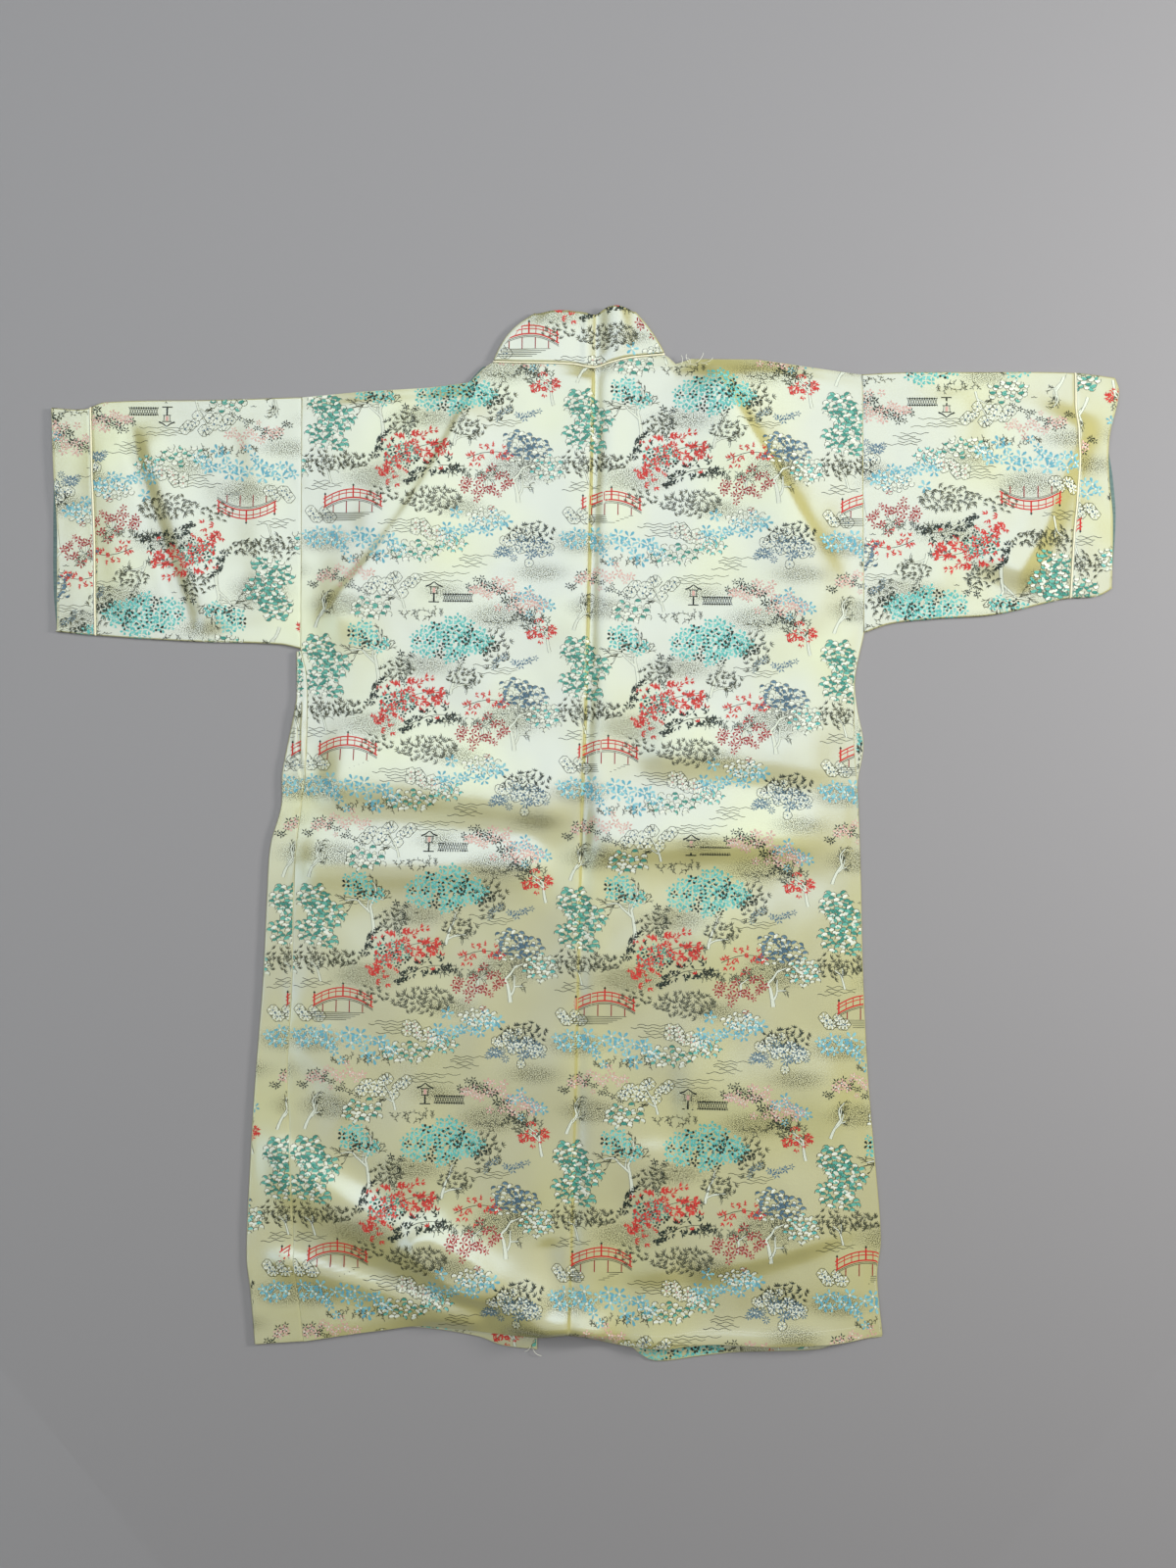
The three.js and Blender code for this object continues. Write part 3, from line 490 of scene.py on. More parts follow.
# Clouds of fine dots in the ground, in shares of the repeat: middle, half sizes and strength
stippleClouds = (
    (0.1, 0.1, 0.16, 0.07, 1.0),
    (0.3, 0.36, 0.2, 0.08, 0.9),
    (0.62, 0.24, 0.15, 0.06, 0.8),
    (0.85, 0.4, 0.17, 0.1, 1.0),
    (0.48, 0.6, 0.2, 0.07, 0.8),
    (0.78, 0.8, 0.18, 0.08, 0.9),
    (0.16, 0.84, 0.16, 0.07, 1.0),
    (0.94, 0.98, 0.16, 0.06, 0.8),
    (0.56, 0.9, 0.14, 0.06, 0.7),
)


def stippleMask(tree):
    # dots about one millimetre apart, kept where a soft ellipse of the repeat is denser than chance
    cut = addNode(tree, "UVMap", uv_map="cloth").outputs["UV"]
    total = 0.0
    for x, y, wide, high, strength in stippleClouds:
        share = vectorNode(tree, "FRACTION", vectorNode(tree, "SUBTRACT", cut, (x - 0.5, y - 0.5, 0)))
        off = vectorNode(tree, "SUBTRACT", share, (0.5, 0.5, 0))
        far = vectorNode(tree, "LENGTH", vectorNode(tree, "DIVIDE", off, (wide, high, 1)))
        near = mathNode(tree, "SUBTRACT", 1.0, far, use_clamp=True)
        total = mathNode(tree, "MULTIPLY_ADD", near, strength, total)
    inMillimetres = vectorNode(tree, "MULTIPLY", cut, (repeat["width"], repeat["height"], 1))
    dots = addNode(tree, "TexVoronoi", {"Vector": inMillimetres, "Scale": 0.95, "Randomness": 0.8},
                   voronoi_dimensions="2D")
    reach = mathNode(tree, "MINIMUM", mathNode(tree, "MULTIPLY", total, 0.6), 0.33)
    return mathNode(tree, "LESS_THAN", dots.outputs["Distance"], reach)


def satinMaterial(look):
    # warp satin: fine ribs along y, uneven picks across, cloudy change of shade and woven-in dots
    material, tree, shader = newMaterial("satinGround")
    place = addNode(tree, "TexCoord").outputs["Object"]
    cloud = noiseNode(tree, place, Scale=9.0, Detail=3.0, Roughness=0.55)
    dots = stippleMask(tree)
    relief = 0.0
    for stretch, scale in look["weave"]:
        relief = mathNode(tree, "ADD", noiseNode(tree, place, stretch, Scale=scale, Detail=2.0), relief)
    drift = noiseNode(tree, place, Scale=10.0, Detail=1.0)
    uneven = mathNode(tree, "MULTIPLY_ADD", drift, 3.4, -1.5, use_clamp=True)
    base = mixNode(tree, cloud, look["shade"], look["shadeTwo"])
    tint = mixNode(tree, uneven, look["tint"], look["tintTwo"])
    bump = addNode(tree, "Bump", {"Height": relief, "Strength": 0.25, "Distance": 0.00012})
    feed(tree, shader, {
        "Base Color": mixNode(tree, dots, base, look["stipple"]),
        "Specular Tint": mixNode(tree, dots, tint, look["stipple"]),
        "Normal": bump.outputs["Normal"],
        "Tangent": addNode(tree, "Tangent", direction_type="UV_MAP", uv_map="cloth").outputs["Tangent"],
        "Roughness": look["roughness"],
        "Anisotropic": look["anisotropic"],
        "IOR": look["ior"],
        "Specular IOR Level": look["level"],
    })
    return material


def threadMaterial(name, colour, roughness=0.5):
    # plain, a little glossy
    material, tree, shader = newMaterial(name)
    feed(tree, shader, {"Base Color": colour, "Roughness": roughness, "Specular IOR Level": 0.35})
    return material


def slubMaterial(name, dark, light, roughness, slub, scale):
    # uneven yarns: two tones in streaks and a little relief
    material, tree, shader = newMaterial(name)
    place = addNode(tree, "TexCoord").outputs["Object"]
    rows = noiseNode(tree, place, slub, Scale=scale, Detail=2.0)
    bump = addNode(tree, "Bump", {"Height": rows, "Strength": 0.4, "Distance": 0.00015})
    feed(tree, shader, {"Base Color": mixNode(tree, rows, dark, light), "Normal": bump.outputs["Normal"],
                        "Roughness": roughness})
    return material


threads = {
    "teal": {"colour": srgb(64, 140, 124), "second": srgb(96, 172, 154)},
    "turquoise": {"colour": srgb(92, 180, 172), "second": srgb(126, 200, 190)},
    "blue": {"colour": srgb(100, 166, 182), "second": srgb(136, 194, 200)},
    "slate": {"colour": srgb(78, 108, 126), "second": srgb(98, 128, 144)},
    "coral": {"colour": srgb(196, 50, 44), "second": srgb(208, 66, 58)},
    "wine": {"colour": srgb(148, 44, 46), "second": srgb(168, 62, 62)},
    "pink": {"colour": srgb(206, 164, 152), "second": srgb(218, 182, 170)},
    "ink": {"colour": srgb(26, 36, 30), "second": srgb(40, 54, 44)},
    "grey": {"colour": srgb(62, 66, 48), "second": srgb(84, 86, 66)},
    "white": {"colour": srgb(214, 220, 202), "second": srgb(228, 232, 216)},
}
threadNames = list(threads)

ground = satinMaterial(groundLook)
reverse = slubMaterial("wrongSide", srgb(62, 88, 92), srgb(120, 144, 136), 0.6, (0.05, 1.0, 1.0), 700.0)
threadMaterials = [threadMaterial(f"{name}Thread{tone.title()}", look[tone])
                   for tone in ("colour", "second") for name, look in threads.items()]
pipingMaterial = slubMaterial("pipingSatin", srgb(236, 230, 188), srgb(250, 246, 220), 0.35,
                              (0.3, 1.0, 1.0), 900.0)
stitchMaterial = threadMaterial("stitchThread", srgb(232, 232, 216), 0.55)
print("stage: materials made")

# The woven figures: one repeat
goldenAngle = 2.39996


def beside(start, turn, along, side):
    # the place that far along a line and that far to its left
    return (start[0] + along * math.cos(turn) - side * math.sin(turn),
            start[1] + along * math.sin(turn) + side * math.cos(turn))


class Sheaf:
    # rows of leaves, strokes and dots, gathered while a repeat is drawn
    def __init__(self, seed):
        self.rng = np.random.default_rng(seed)
        self.leaves, self.petals, self.ribbons, self.dots = [], [], [], []

    def leaf(self, x, y, angle, length, width, thread):
        self.leaves.append((x, y, angle, length, width, threadNames.index(thread)))

    def petal(self, x, y, angle, length, width, thread):
        self.petals.append((x, y, angle, length, width, threadNames.index(thread)))

    def stroke(self, points, wide, narrow, thread):
        self.ribbons.append((np.asarray(points, float), wide, narrow, threadNames.index(thread)))

    def dot(self, x, y, radius, thread):
        self.dots.append((x, y, radius, threadNames.index(thread)))

    def spots(self, x, y, rx, ry, count):
        # places spread evenly over an ellipse, by turning each a golden angle further
        k = np.arange(count) + self.rng.uniform(0, 1)
        reach, turn = np.sqrt(k / count), k * goldenAngle
        jitter = self.rng.normal(0, 0.5, (2, count))
        return zip(x + rx * reach * np.cos(turn) + jitter[0], y + ry * reach * np.sin(turn) + jitter[1])


def blossom(sheaf, x, y, radius, petals, thread, heart=None, fill=1.0, pointed=False):
    # petals about a centre, each from a tenth of the radius outwards
    phase = sheaf.rng.uniform(0, 2 * math.pi)
    for k in range(petals):
        turn = phase + 2 * math.pi * k / petals
        draw = sheaf.leaf if pointed else sheaf.petal
        px, py = x + 0.12 * radius * math.cos(turn), y + 0.12 * radius * math.sin(turn)
        draw(px, py, turn, radius * 0.9, fill * 2.6 * radius / petals, thread)
    if heart:
        sheaf.dot(x, y, radius * 0.22, heart)


def mapleSpray(sheaf, start, turn, length, count, size, thread, width):
    # forked sprigs scattered about a bowed twig
    rng = sheaf.rng
    t = np.linspace(0, 1, 7)
    x, y = beside(start, turn, length * t, 0.12 * length * np.sin(math.pi * t))
    sheaf.stroke(np.stack([x, y], 1), 0.6, 0.4, "ink")
    for k in range(count):
        s = (k + rng.uniform(0, 1)) / count
        side = rng.normal(0, width * (0.4 + 0.6 * math.sin(math.pi * s)))
        px, py = beside((np.interp(s, t, x), np.interp(s, t, y)), turn, 0, side)
        lean = turn + rng.uniform(-2.4, 2.4)
        for lobe in (-1.1, -0.5, 0.1, 0.7):
            reach = size * rng.uniform(0.65, 1.15)
            nearX, nearY = px + rng.normal(0, 0.5), py + rng.normal(0, 0.5)
            sheaf.leaf(nearX, nearY, lean + lobe, reach, reach * 0.34, thread)


def starTrail(sheaf, start, turn, length, count, size, thread, width):
    # separate five-pointed leaves along a wandering line
    for k in range(count):
        s = (k + sheaf.rng.uniform(0, 1)) / count
        side = width * math.sin(5.2 * s) + sheaf.rng.normal(0, width * 0.45)
        radius = size * sheaf.rng.uniform(0.75, 1.15)
        blossom(sheaf, *beside(start, turn, length * s, side), radius, 5, thread, None, 0.62, True)


def foliage(sheaf, x, y, rx, ry, count, size, fills, rim="grey"):
    # scallops in an ellipse, each a fan of three petals under a dark arc
    for k, (px, py) in enumerate(sheaf.spots(x, y, rx, ry, count)):
        radius = size * sheaf.rng.uniform(0.75, 1.15)
        fill = fills[k % len(fills)]
        lean = sheaf.rng.normal(0, 0.5)
        for side in (-0.85, 0.0, 0.85):
            sheaf.petal(px, py, math.pi / 2 + side + lean, radius, radius * 0.78, fill)
        arc = np.linspace(-0.35, math.pi + 0.35, 6) + lean
        rimX, rimY = px + radius * 1.04 * np.cos(arc), py + radius * 1.04 * np.sin(arc)
        sheaf.stroke(np.stack([rimX, rimY], 1), 0.45, 0.45, rim)


def cloverPatch(sheaf, x, y, rx, ry, count, size, thread):
    # four-leaved sprigs in an ellipse, with dark ones along its lower right and scattered in it
    for k, (px, py) in enumerate(sheaf.spots(x, y, rx, ry, count)):
        low = (px - x) / rx - (py - y) / ry > 0.95 or k % 9 == 0
        blossom(sheaf, px, py, size * sheaf.rng.uniform(0.8, 1.15), 4, "ink" if low else thread, None, 0.82)


def flowerDrift(sheaf, start, turn, length, count, size, thread, width,
                heart="white", petals=5, rim=None):
    # open flowers along a drift, thinning towards its ends
    for k in range(count):
        s = (k + 0.5) / count
        side = sheaf.rng.normal(0, width * (0.3 + 0.7 * math.sin(math.pi * s)))
        px, py = beside(start, turn, length * s, side)
        radius = size * sheaf.rng.uniform(0.75, 1.2)
        blossom(sheaf, px, py, radius, petals, thread, heart, 0.74)
        if rim:
            arc = np.linspace(0, 2 * math.pi, 11)
            wave = radius * (1.06 + 0.1 * np.cos(arc * petals))
            sheaf.stroke(np.stack([px + wave * np.cos(arc), py + wave * np.sin(arc)], 1), 0.42, 0.42, rim)


def branch(sheaf, x, y, turn, length, wide, depth):
    # a wavering limb that forks: pale between two dark lines while it is thick, one dark line once thin
    rng = sheaf.rng
    t = np.linspace(0, 1, 5)
    sway = rng.normal(0, 0.16, 5).cumsum() * t
    px = x + np.concatenate([[0], np.cumsum(np.cos(turn + sway[1:]) * length / 4)])
    py = y + np.concatenate([[0], np.cumsum(np.sin(turn + sway[1:]) * length / 4)])
    line = np.stack([px, py], 1)
    if wide > 0.9:
        across = np.stack([-np.sin(turn + sway), np.cos(turn + sway)], 1)
        across = across * np.linspace(wide, wide * 0.6, 5)[:, None] / 2
        sheaf.stroke(line, wide, wide * 0.6, "white")
        sheaf.stroke(line + across, 0.46, 0.4, "grey")
        sheaf.stroke(line - across, 0.46, 0.4, "grey")
    else:
        sheaf.stroke(line, 0.5, 0.36, "grey")
    if depth > 0:
        for k in range(3 if depth < 3 else 2):
            at = 4 if k == 0 else rng.integers(1, 4)
            branch(sheaf, px[at], py[at], turn + rng.choice([-1, 1]) * rng.uniform(0.3, 1.0),
                   length * rng.uniform(0.5, 0.78), wide * 0.6, depth - 1)


def bambooClump(sheaf, x, y, rx, ry, count, size, thread):
    # sheaves of three or four narrow leaves, over an ellipse
    for px, py in sheaf.spots(x, y, rx, ry, count):
        lean = sheaf.rng.uniform(0.3, 2.8)
        for k in range(4):
            sheaf.leaf(px, py, lean + 0.62 * (k - 1.5), size * sheaf.rng.uniform(0.7, 1.15), 0.85, thread)


def reeds(sheaf, x, y, wide, count, tall, thread):
    # curved blades that rise from a low line, with short side leaves
    for k in range(count):
        px = x + wide * (k + sheaf.rng.uniform(0, 1)) / count
        py = y + sheaf.rng.normal(0, 2.0)
        lean, reach = sheaf.rng.normal(0, 0.45), tall * sheaf.rng.uniform(0.5, 1.1)
        t = np.linspace(0, 1, 5)
        tilt = lean * (1 + t)
        line = np.stack([px + reach * t * np.sin(tilt), py + reach * t * np.cos(tilt)], 1)
        sheaf.stroke(line, 0.48, 0.3, thread)
        for s in (1, 2, 3):
            side = 1 if (k + s) % 2 else -1
            sheaf.leaf(*line[s], math.pi / 2 - lean * 1.5 + side * 0.8, tall * 0.3, 0.7, thread)


def water(sheaf, x, y, width, count, gap, thread):
    # short wavy lines, each a little shifted
    for k in range(count):
        span = width * sheaf.rng.uniform(0.4, 0.8)
        left = x + sheaf.rng.uniform(0, 0.4) * width
        t = np.linspace(0, 1, 12)
        wave = 0.8 * np.sin(t * span / 5.5 * math.pi + sheaf.rng.uniform(0, 6))
        sheaf.stroke(np.stack([left + span * t, y - k * gap + wave], 1), 0.48, 0.36, thread)


def gardenBridge(sheaf, x, y, width):
    # arched deck, posts and two rails in red, with dark planks and footings
    t = np.linspace(-1, 1, 13)
    arch = 0.17 * width * (1 - t**2)
    for lift, wide, thread in ((0.0, 1.3, "coral"), (-1.7, 0.5, "ink"), (-2.9, 0.4, "ink"),
                               (4.6, 0.8, "coral"), (7.6, 1.1, "coral")):
        sheaf.stroke(np.stack([x + t * width / 2, y + arch + lift], 1), wide, wide, thread)
    for k in range(9):
        s = -0.94 + 1.88 * k / 8
        foot = y + 0.17 * width * (1 - s * s)
        tall, wide = (10.2, 1.4) if k % 4 == 0 else (7.8, 0.7)
        px = x + s * width / 2
        sheaf.stroke([(px, foot), (px, foot + tall)], wide, wide, "coral")
        if k % 4 == 0:
            sheaf.leaf(px, foot + tall - 0.4, math.pi / 2, 2.8, 2.2, "ink")
    for s in (-0.66, -0.22, 0.22, 0.66):
        px = x + s * width / 2
        sheaf.stroke([(px, y + 0.17 * width * (1 - s * s) - 3), (px, y - 4.5)], 0.9, 0.9, "wine")
    for k in range(5):
        level = y - 5 - 1.6 * k
        sheaf.stroke([(x - width * 0.5 - 6 + k, level), (x + width * 0.36 - 4 * k, level)], 0.4, 0.4, "ink")


def lantern(sheaf, x, y, tall):
    # garden lantern: a curved cap over a lit box on a post
    def line(points, wide, narrow, thread="ink"):
        # points in shares of the lantern's height
        sheaf.stroke([(x + across * tall, y + up * tall) for across, up in points], wide, narrow, thread)

    for lift, half, wide in ((0.0, 0.26, 1.0), (0.42, 0.2, 0.7), (0.74, 0.24, 0.8)):
        line([(-half, lift), (half, lift)], wide, wide)
    line([(0, 0), (0, 0.42)], 1.6, 1.2)
    for side in (-1, 1):
        line([(side * 0.14, 0.42), (side * 0.16, 0.74)], 0.5, 0.5)
        line([(side * 0.4, 0.76), (side * 0.2, 0.84), (0, 1)], 1.5, 0.8)
    line([(0, 0.46), (0, 0.7)], 2.4, 2.4, "pink")


def latticeFence(sheaf, x, y, width, tall):
    # slanting laths between two rails
    for lift in (0.12, 0.88):
        sheaf.stroke([(x, y + lift * tall), (x + width, y + lift * tall)], 0.7, 0.7, "ink")
    for k in range(12):
        px = x + width * k / 12
        for side in (0, 1):
            ends = [(px, y + side * tall), (px + width / 9, y + (1 - side) * tall)]
            sheaf.stroke(ends, 0.45, 0.45, "ink")


def bird(sheaf, x, y, size):
    # two wings, each rising from the body and falling a little to its tip
    t = np.linspace(0, 1, 4)
    for side in (-1, 1):
        lift = size * (0.45 * np.sin(math.pi * t * 0.8) - 0.1 * t)
        sheaf.stroke(np.stack([x + side * size * t, y + lift], 1), 0.6, 0.25, "ink")


leafGreen, leafGrey = ("teal", "teal", "white"), ("slate", "white", "slate")
# The layout of one repeat, in millimetres from its lower left corner: what is drawn, and its places
layout = (
    (branch, (74, 114, 1.5, 27, 3.2, 5), (196, 58, 1.65, 21, 3.4, 4), (16, 166, 1.3, 19, 2.6, 4),
     (138, 108, 1.4, 17, 2.6, 4), (226, 146, 1.9, 18, 2.4, 4), (96, 184, 1.75, 14, 1.8, 4),
     (28, 74, 1.8, 13, 1.6, 3), (166, 66, 1.3, 12, 1.6, 3)),
    (gardenBridge, (48, 52, 54)),
    (lantern, (122, 190, 18)),
    (latticeFence, (130, 190, 26, 8)),
    (foliage, (20, 146, 15, 13, 36, 3.0, leafGreen), (31, 132, 18, 13, 42, 3.0, leafGreen),
     (17, 118, 13, 12, 26, 3.0, leafGreen), (33, 110, 9, 9, 14, 3.0, leafGreen),
     (196, 112, 14, 10, 28, 2.5, leafGrey), (211, 105, 14, 10, 28, 2.5, leafGrey),
     (190, 99, 8, 6, 9, 2.5, leafGrey), (222, 88, 15, 12, 37, 2.6, ("white", "white", "turquoise")),
     (104, 12, 24, 9, 37, 2.7, ("white", "teal", "white")),
     (66, 182, 18, 10, 32, 2.8, ("white", "white", "teal")), (168, 44, 16, 8, 27, 2.5, ("white", "white"))),
    (cloverPatch, (118, 155, 16, 15, 27, 4.0, "turquoise"), (141, 165, 18, 12, 30, 4.0, "turquoise"),
     (160, 154, 17, 11, 27, 4.0, "turquoise"), (140, 144, 12, 7, 13, 4.0, "turquoise"),
     (58, 160, 13, 11, 17, 4.0, "turquoise"), (74, 151, 8, 6, 7, 4.0, "turquoise")),
    (mapleSpray, ((72, 80), 0.5, 66, 84, 4.8, "coral", 11), ((94, 74), 0.28, 54, 35, 4.4, "ink", 7),
     ((66, 98), 1.1, 26, 16, 4.2, "ink", 5), ((206, 158), 0.4, 26, 22, 4.2, "coral", 6)),
    (starTrail, ((150, 204), -0.35, 70, 34, 3.9, "ink", 8), ((10, 204), 0.1, 56, 22, 3.5, "ink", 7),
     ((92, 146), -1.2, 30, 12, 3.3, "ink", 6)),
    (flowerDrift, ((156, 204), -0.25, 68, 34, 3.9, "pink", 7), ((18, 212), 0.0, 50, 18, 3.5, "pink", 6),
     ((146, 68), 0.2, 44, 30, 3.5, "wine", 8, "pink"), ((4, 26), -0.12, 92, 27, 5.6, "blue", 9),
     ((128, 32), 0.16, 60, 18, 5.4, "blue", 7), ((196, 196), -0.3, 34, 10, 4.6, "blue", 5),
     ((62, 200), 0.2, 46, 14, 4.4, "white", 5, "slate", 6, "grey"),
     ((176, 14), 0.05, 50, 20, 4.6, "slate", 7, "white", 8),
     ((182, 24), -0.1, 44, 16, 4.6, "white", 8, "slate", 7, "grey"),
     ((104, 38), -0.5, 36, 13, 4.2, "white", 5, "pink", 5, "grey"),
     ((8, 48), -0.3, 22, 8, 4.2, "white", 5, "slate", 6, "grey")),
    (bambooClump, (120, 58, 28, 12, 60, 4.4, "grey"), (178, 148, 14, 18, 33, 4.2, "grey"),
     (208, 30, 22, 10, 36, 4.0, "ink"), (90, 128, 15, 10, 27, 3.8, "grey"), (46, 94, 18, 8, 30, 3.8, "grey"),
     (150, 122, 16, 8, 27, 3.8, "grey")),
    (reeds, (128, 80, 50, 22, 11, "grey"), (6, 88, 50, 16, 9, "grey"), (40, 4, 54, 20, 9, "grey"),
     (92, 176, 40, 14, 9, "grey"), (172, 172, 56, 18, 9, "grey"), (116, 104, 24, 10, 9, "ink")),
    (mapleSpray, ((150, 96), 0.1, 40, 22, 4.0, "coral", 7)),
    (cloverPatch, (92, 100, 16, 11, 26, 3.2, "teal")),
    (starTrail, ((176, 128), 0.5, 40, 12, 3.6, "slate", 6)),
    (bambooClump, (16, 92, 14, 12, 22, 4.0, "grey"), (74, 62, 16, 8, 18, 3.6, "grey")),
    (foliage, (138, 20, 14, 8, 20, 2.5, ("turquoise", "white", "turquoise"))),
    (water, (64, 40, 56, 5, 2.6, "ink"), (158, 134, 48, 4, 2.4, "grey"), (132, 10, 44, 5, 2.4, "ink"),
     (96, 216, 66, 4, 2.3, "grey"), (2, 76, 36, 4, 2.3, "ink"), (34, 148, 34, 3, 2.4, "grey")),
    (bird, (104, 140, 3.4), (112, 135, 2.6), (186, 90, 3.0), (44, 188, 2.8), (118, 176, 2.6)),
)


# The figures as triangles
figureLift = {"stroke": 0.10, "base": 0.06, "tip": 0.22, "perThread": 0.004}      # over the ground
toneMix = {"x": 12.9898, "y": 78.233, "scale": 43758.5453, "second": 0.42}


def leafTriangles(rows, shape):
    # flat leaves that rise to their tips: shape gives points as shares of length and width
    x, y, angle, length, width, thread = np.array(rows).T
    along, aside = np.stack([np.cos(angle), np.sin(angle)], 1), np.stack([-np.sin(angle), np.cos(angle)], 1)
    outline = [np.stack([x, y], 1) + along * (length * t)[:, None] + aside * (width * w)[:, None]
               for t, w in shape]
    lift = figureLift["base"] + figureLift["perThread"] * thread
    rise = [lift + (figureLift["tip"] - figureLift["base"]) * t for t, w in shape]
    fan = range(1, len(shape) - 1)
    corners, rises = (np.concatenate([np.stack([g[0], g[k], g[k + 1]], 1) for k in fan])
                      for g in (outline, rise))
    return corners, rises, np.tile(toneOf(outline[0], thread.astype(int)), len(fan))


leafShape = ((0.0, 0.0), (0.45, -0.5), (1.0, 0.0), (0.45, 0.5))
petalShape = ((0.0, 0.0), (0.6, -0.5), (0.93, -0.3), (0.93, 0.3), (0.6, 0.5))


def ribbonTriangles(points, wide, narrow, thread):
    # a flat ribbon along the points, square to the path at each
    path = np.gradient(points, axis=0)
    path = path / np.linalg.norm(path, axis=1, keepdims=True)
    half = np.stack([-path[:, 1], path[:, 0]], 1) * np.linspace(wide, narrow, len(points))[:, None] / 2
    left, right = points + half, points - half
    first = np.stack([right[:-1], right[1:], left[1:]], 1)
    second = np.stack([right[:-1], left[1:], left[:-1]], 1)
    corners = np.concatenate([first, second])
    rise = np.full((len(corners), 3), figureLift["stroke"] + figureLift["perThread"] * thread)
    return corners, rise, np.full(len(corners), thread)


def dotTriangles(rows):
    # two triangles in a diamond
    x, y, radius, thread = np.array(rows).T
    ends = ((1, 0), (0, 1), (-1, 0), (0, -1))
    ring = np.stack([np.stack([x + radius * a, y + radius * b], 1) for a, b in ends], 1)
    corners = np.concatenate([ring[:, [0, 1, 2]], ring[:, [0, 2, 3]]])
    rise = np.full((len(corners), 3), figureLift["tip"])
    return corners, rise, np.concatenate([thread, thread]).astype(int)


def joinTriangles(parts):
    # corners, heights over the ground and materials of all the parts
    return tuple(np.concatenate([part[k] for part in parts]) for k in range(3))


def toneOf(place, thread):
    # index of the material: the first tone or the second one, by chance from the figure's place
    chance = np.sin(place[:, 0] * toneMix["x"] + place[:, 1] * toneMix["y"]) * toneMix["scale"] % 1
    return thread + len(threadNames) * (chance < toneMix["second"])


sheaf = Sheaf(11)
for draw, *places in layout:
    for place in places:
        draw(sheaf, *place)
leafPart = joinTriangles([leafTriangles(sheaf.leaves, leafShape), leafTriangles(sheaf.petals, petalShape)])
linePart = joinTriangles([*(ribbonTriangles(*ribbon) for ribbon in sheaf.ribbons), dotTriangles(sheaf.dots)])
figureParts = (("leaves", leafPart), ("lines", linePart))
print("stage: repeat drawn, triangles", len(leafPart[0]), len(linePart[0]))


smallestFigure = 0.01      # square millimetres of a triangle worth keeping


# A panel has the box of its pattern, a trim that brings places inside its edges, and a lay that
# gives their place and normal on the cloth.
def layFigures(name, part, panel, shift, upside=False):
    # copies the repeat over the panel, trims it to the panel's edges and lays it on the cloth
    corners, rise, thread = part
    if upside:
        corners = np.array(list(repeat.values())) - corners
    low, high = panel["box"]
    size = tuple(repeat.values())
    columns, rows = (range(math.floor((low[k] - shift[k]) / size[k]) - 2,
                           math.ceil((high[k] - shift[k]) / size[k]) + 2) for k in (0, 1))
    spans = []
    for i in columns:
        for j in rows:
            moved = corners + np.array([shift[0] + i * size[0], shift[1] + j * size[1]])
            near = ((moved.max(1) > low) & (moved.min(1) < high)).all(1)
            if near.any():
                spans.append((moved[near], rise[near], thread[near]))
    corners, rise, thread = joinTriangles(spans)
    flat = corners.reshape(-1, 2)
    x, y = panel["trim"](flat[:, 0], flat[:, 1])
    moved = (np.hypot(x - flat[:, 0], y - flat[:, 1]) > 1e-6).reshape(-1, 3)
    a, b = x.reshape(-1, 3), y.reshape(-1, 3)
    area = np.abs((a[:, 1] - a[:, 0]) * (b[:, 2] - b[:, 0]) - (a[:, 2] - a[:, 0]) * (b[:, 1] - b[:, 0])) / 2
    keep = ~moved.all(1) & (area > smallestFigure)
    x, y, rise, thread = a[keep].ravel(), b[keep].ravel(), rise[keep], thread[keep]
    place, normal = panel["lay"](x, y)
    vertices = place + normal * rise.reshape(-1, 1)
    faces = np.arange(len(vertices)).reshape(-1, 3)
    span = max(high[0] - low[0], high[1] - low[1], 1)
    uv = (np.stack([x, y], 1) - np.array(low)) / span
    piece = meshObject(name, vertices, faces, threadMaterials, uv, "OFBake", thread, smooth=False)
    piece["triangles"] = len(faces)
    return piece


def panelFigures(name, panel, shift, upside=False):
    # one mesh of leaves and petals, and one of strokes and dots
    return [layFigures(f"{name}_{kind}", part, panel, shift, upside) for kind, part in figureParts]


def onGrid(points, normals, row, column):
    # bilinear reading of a grid of places and normals at fractional rows and columns
    r = np.clip(np.floor(row).astype(int), 0, points.shape[0] - 2)
    c = np.clip(np.floor(column).astype(int), 0, points.shape[1] - 2)
    u, v = np.clip(row - r, 0, 1)[:, None], np.clip(column - c, 0, 1)[:, None]
    place, normal = (
        (g[r, c] * (1 - v) + g[r, c + 1] * v) * (1 - u) + (g[r + 1, c] * (1 - v) + g[r + 1, c + 1] * v) * u
        for g in (points, normals)
    )
    return place, normal / np.linalg.norm(normal, axis=1, keepdims=True)


def stations(marks, gap):
    # values from mark to mark in even steps of about the gap
    pairs = zip(marks[:-1], marks[1:])
    parts = [np.linspace(a, b, max(1, round((b - a) / gap)) + 1)[:-1] for a, b in pairs]
    return np.concatenate(parts + [[marks[-1]]])


def foldArc(x, y, out, low, high, count):
    # half circles from the lower layer up to the upper one round a folded edge, without their ends
    turn = np.linspace(0, math.pi, count + 1)[1:-1][None, :]
    x, y, low, high = (np.asarray(v, float).reshape(-1, 1) for v in (x, y, low, high))
    radius = (high - low) / 2
    reach = radius * (np.sin(turn) - 1)
    return np.stack([x + out[0] * reach, y + out[1] * reach, low + radius * (1 - np.cos(turn))], 2)


def dress(name, cloths, figures, node):
    # the cloth takes the place of its solid, and its figures go with it
    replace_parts(cloths, node)
    for piece in [cloths] + figures:
        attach(piece, body)
    print("stage:", name, "made, figure triangles", [piece["triangles"] for piece in figures])


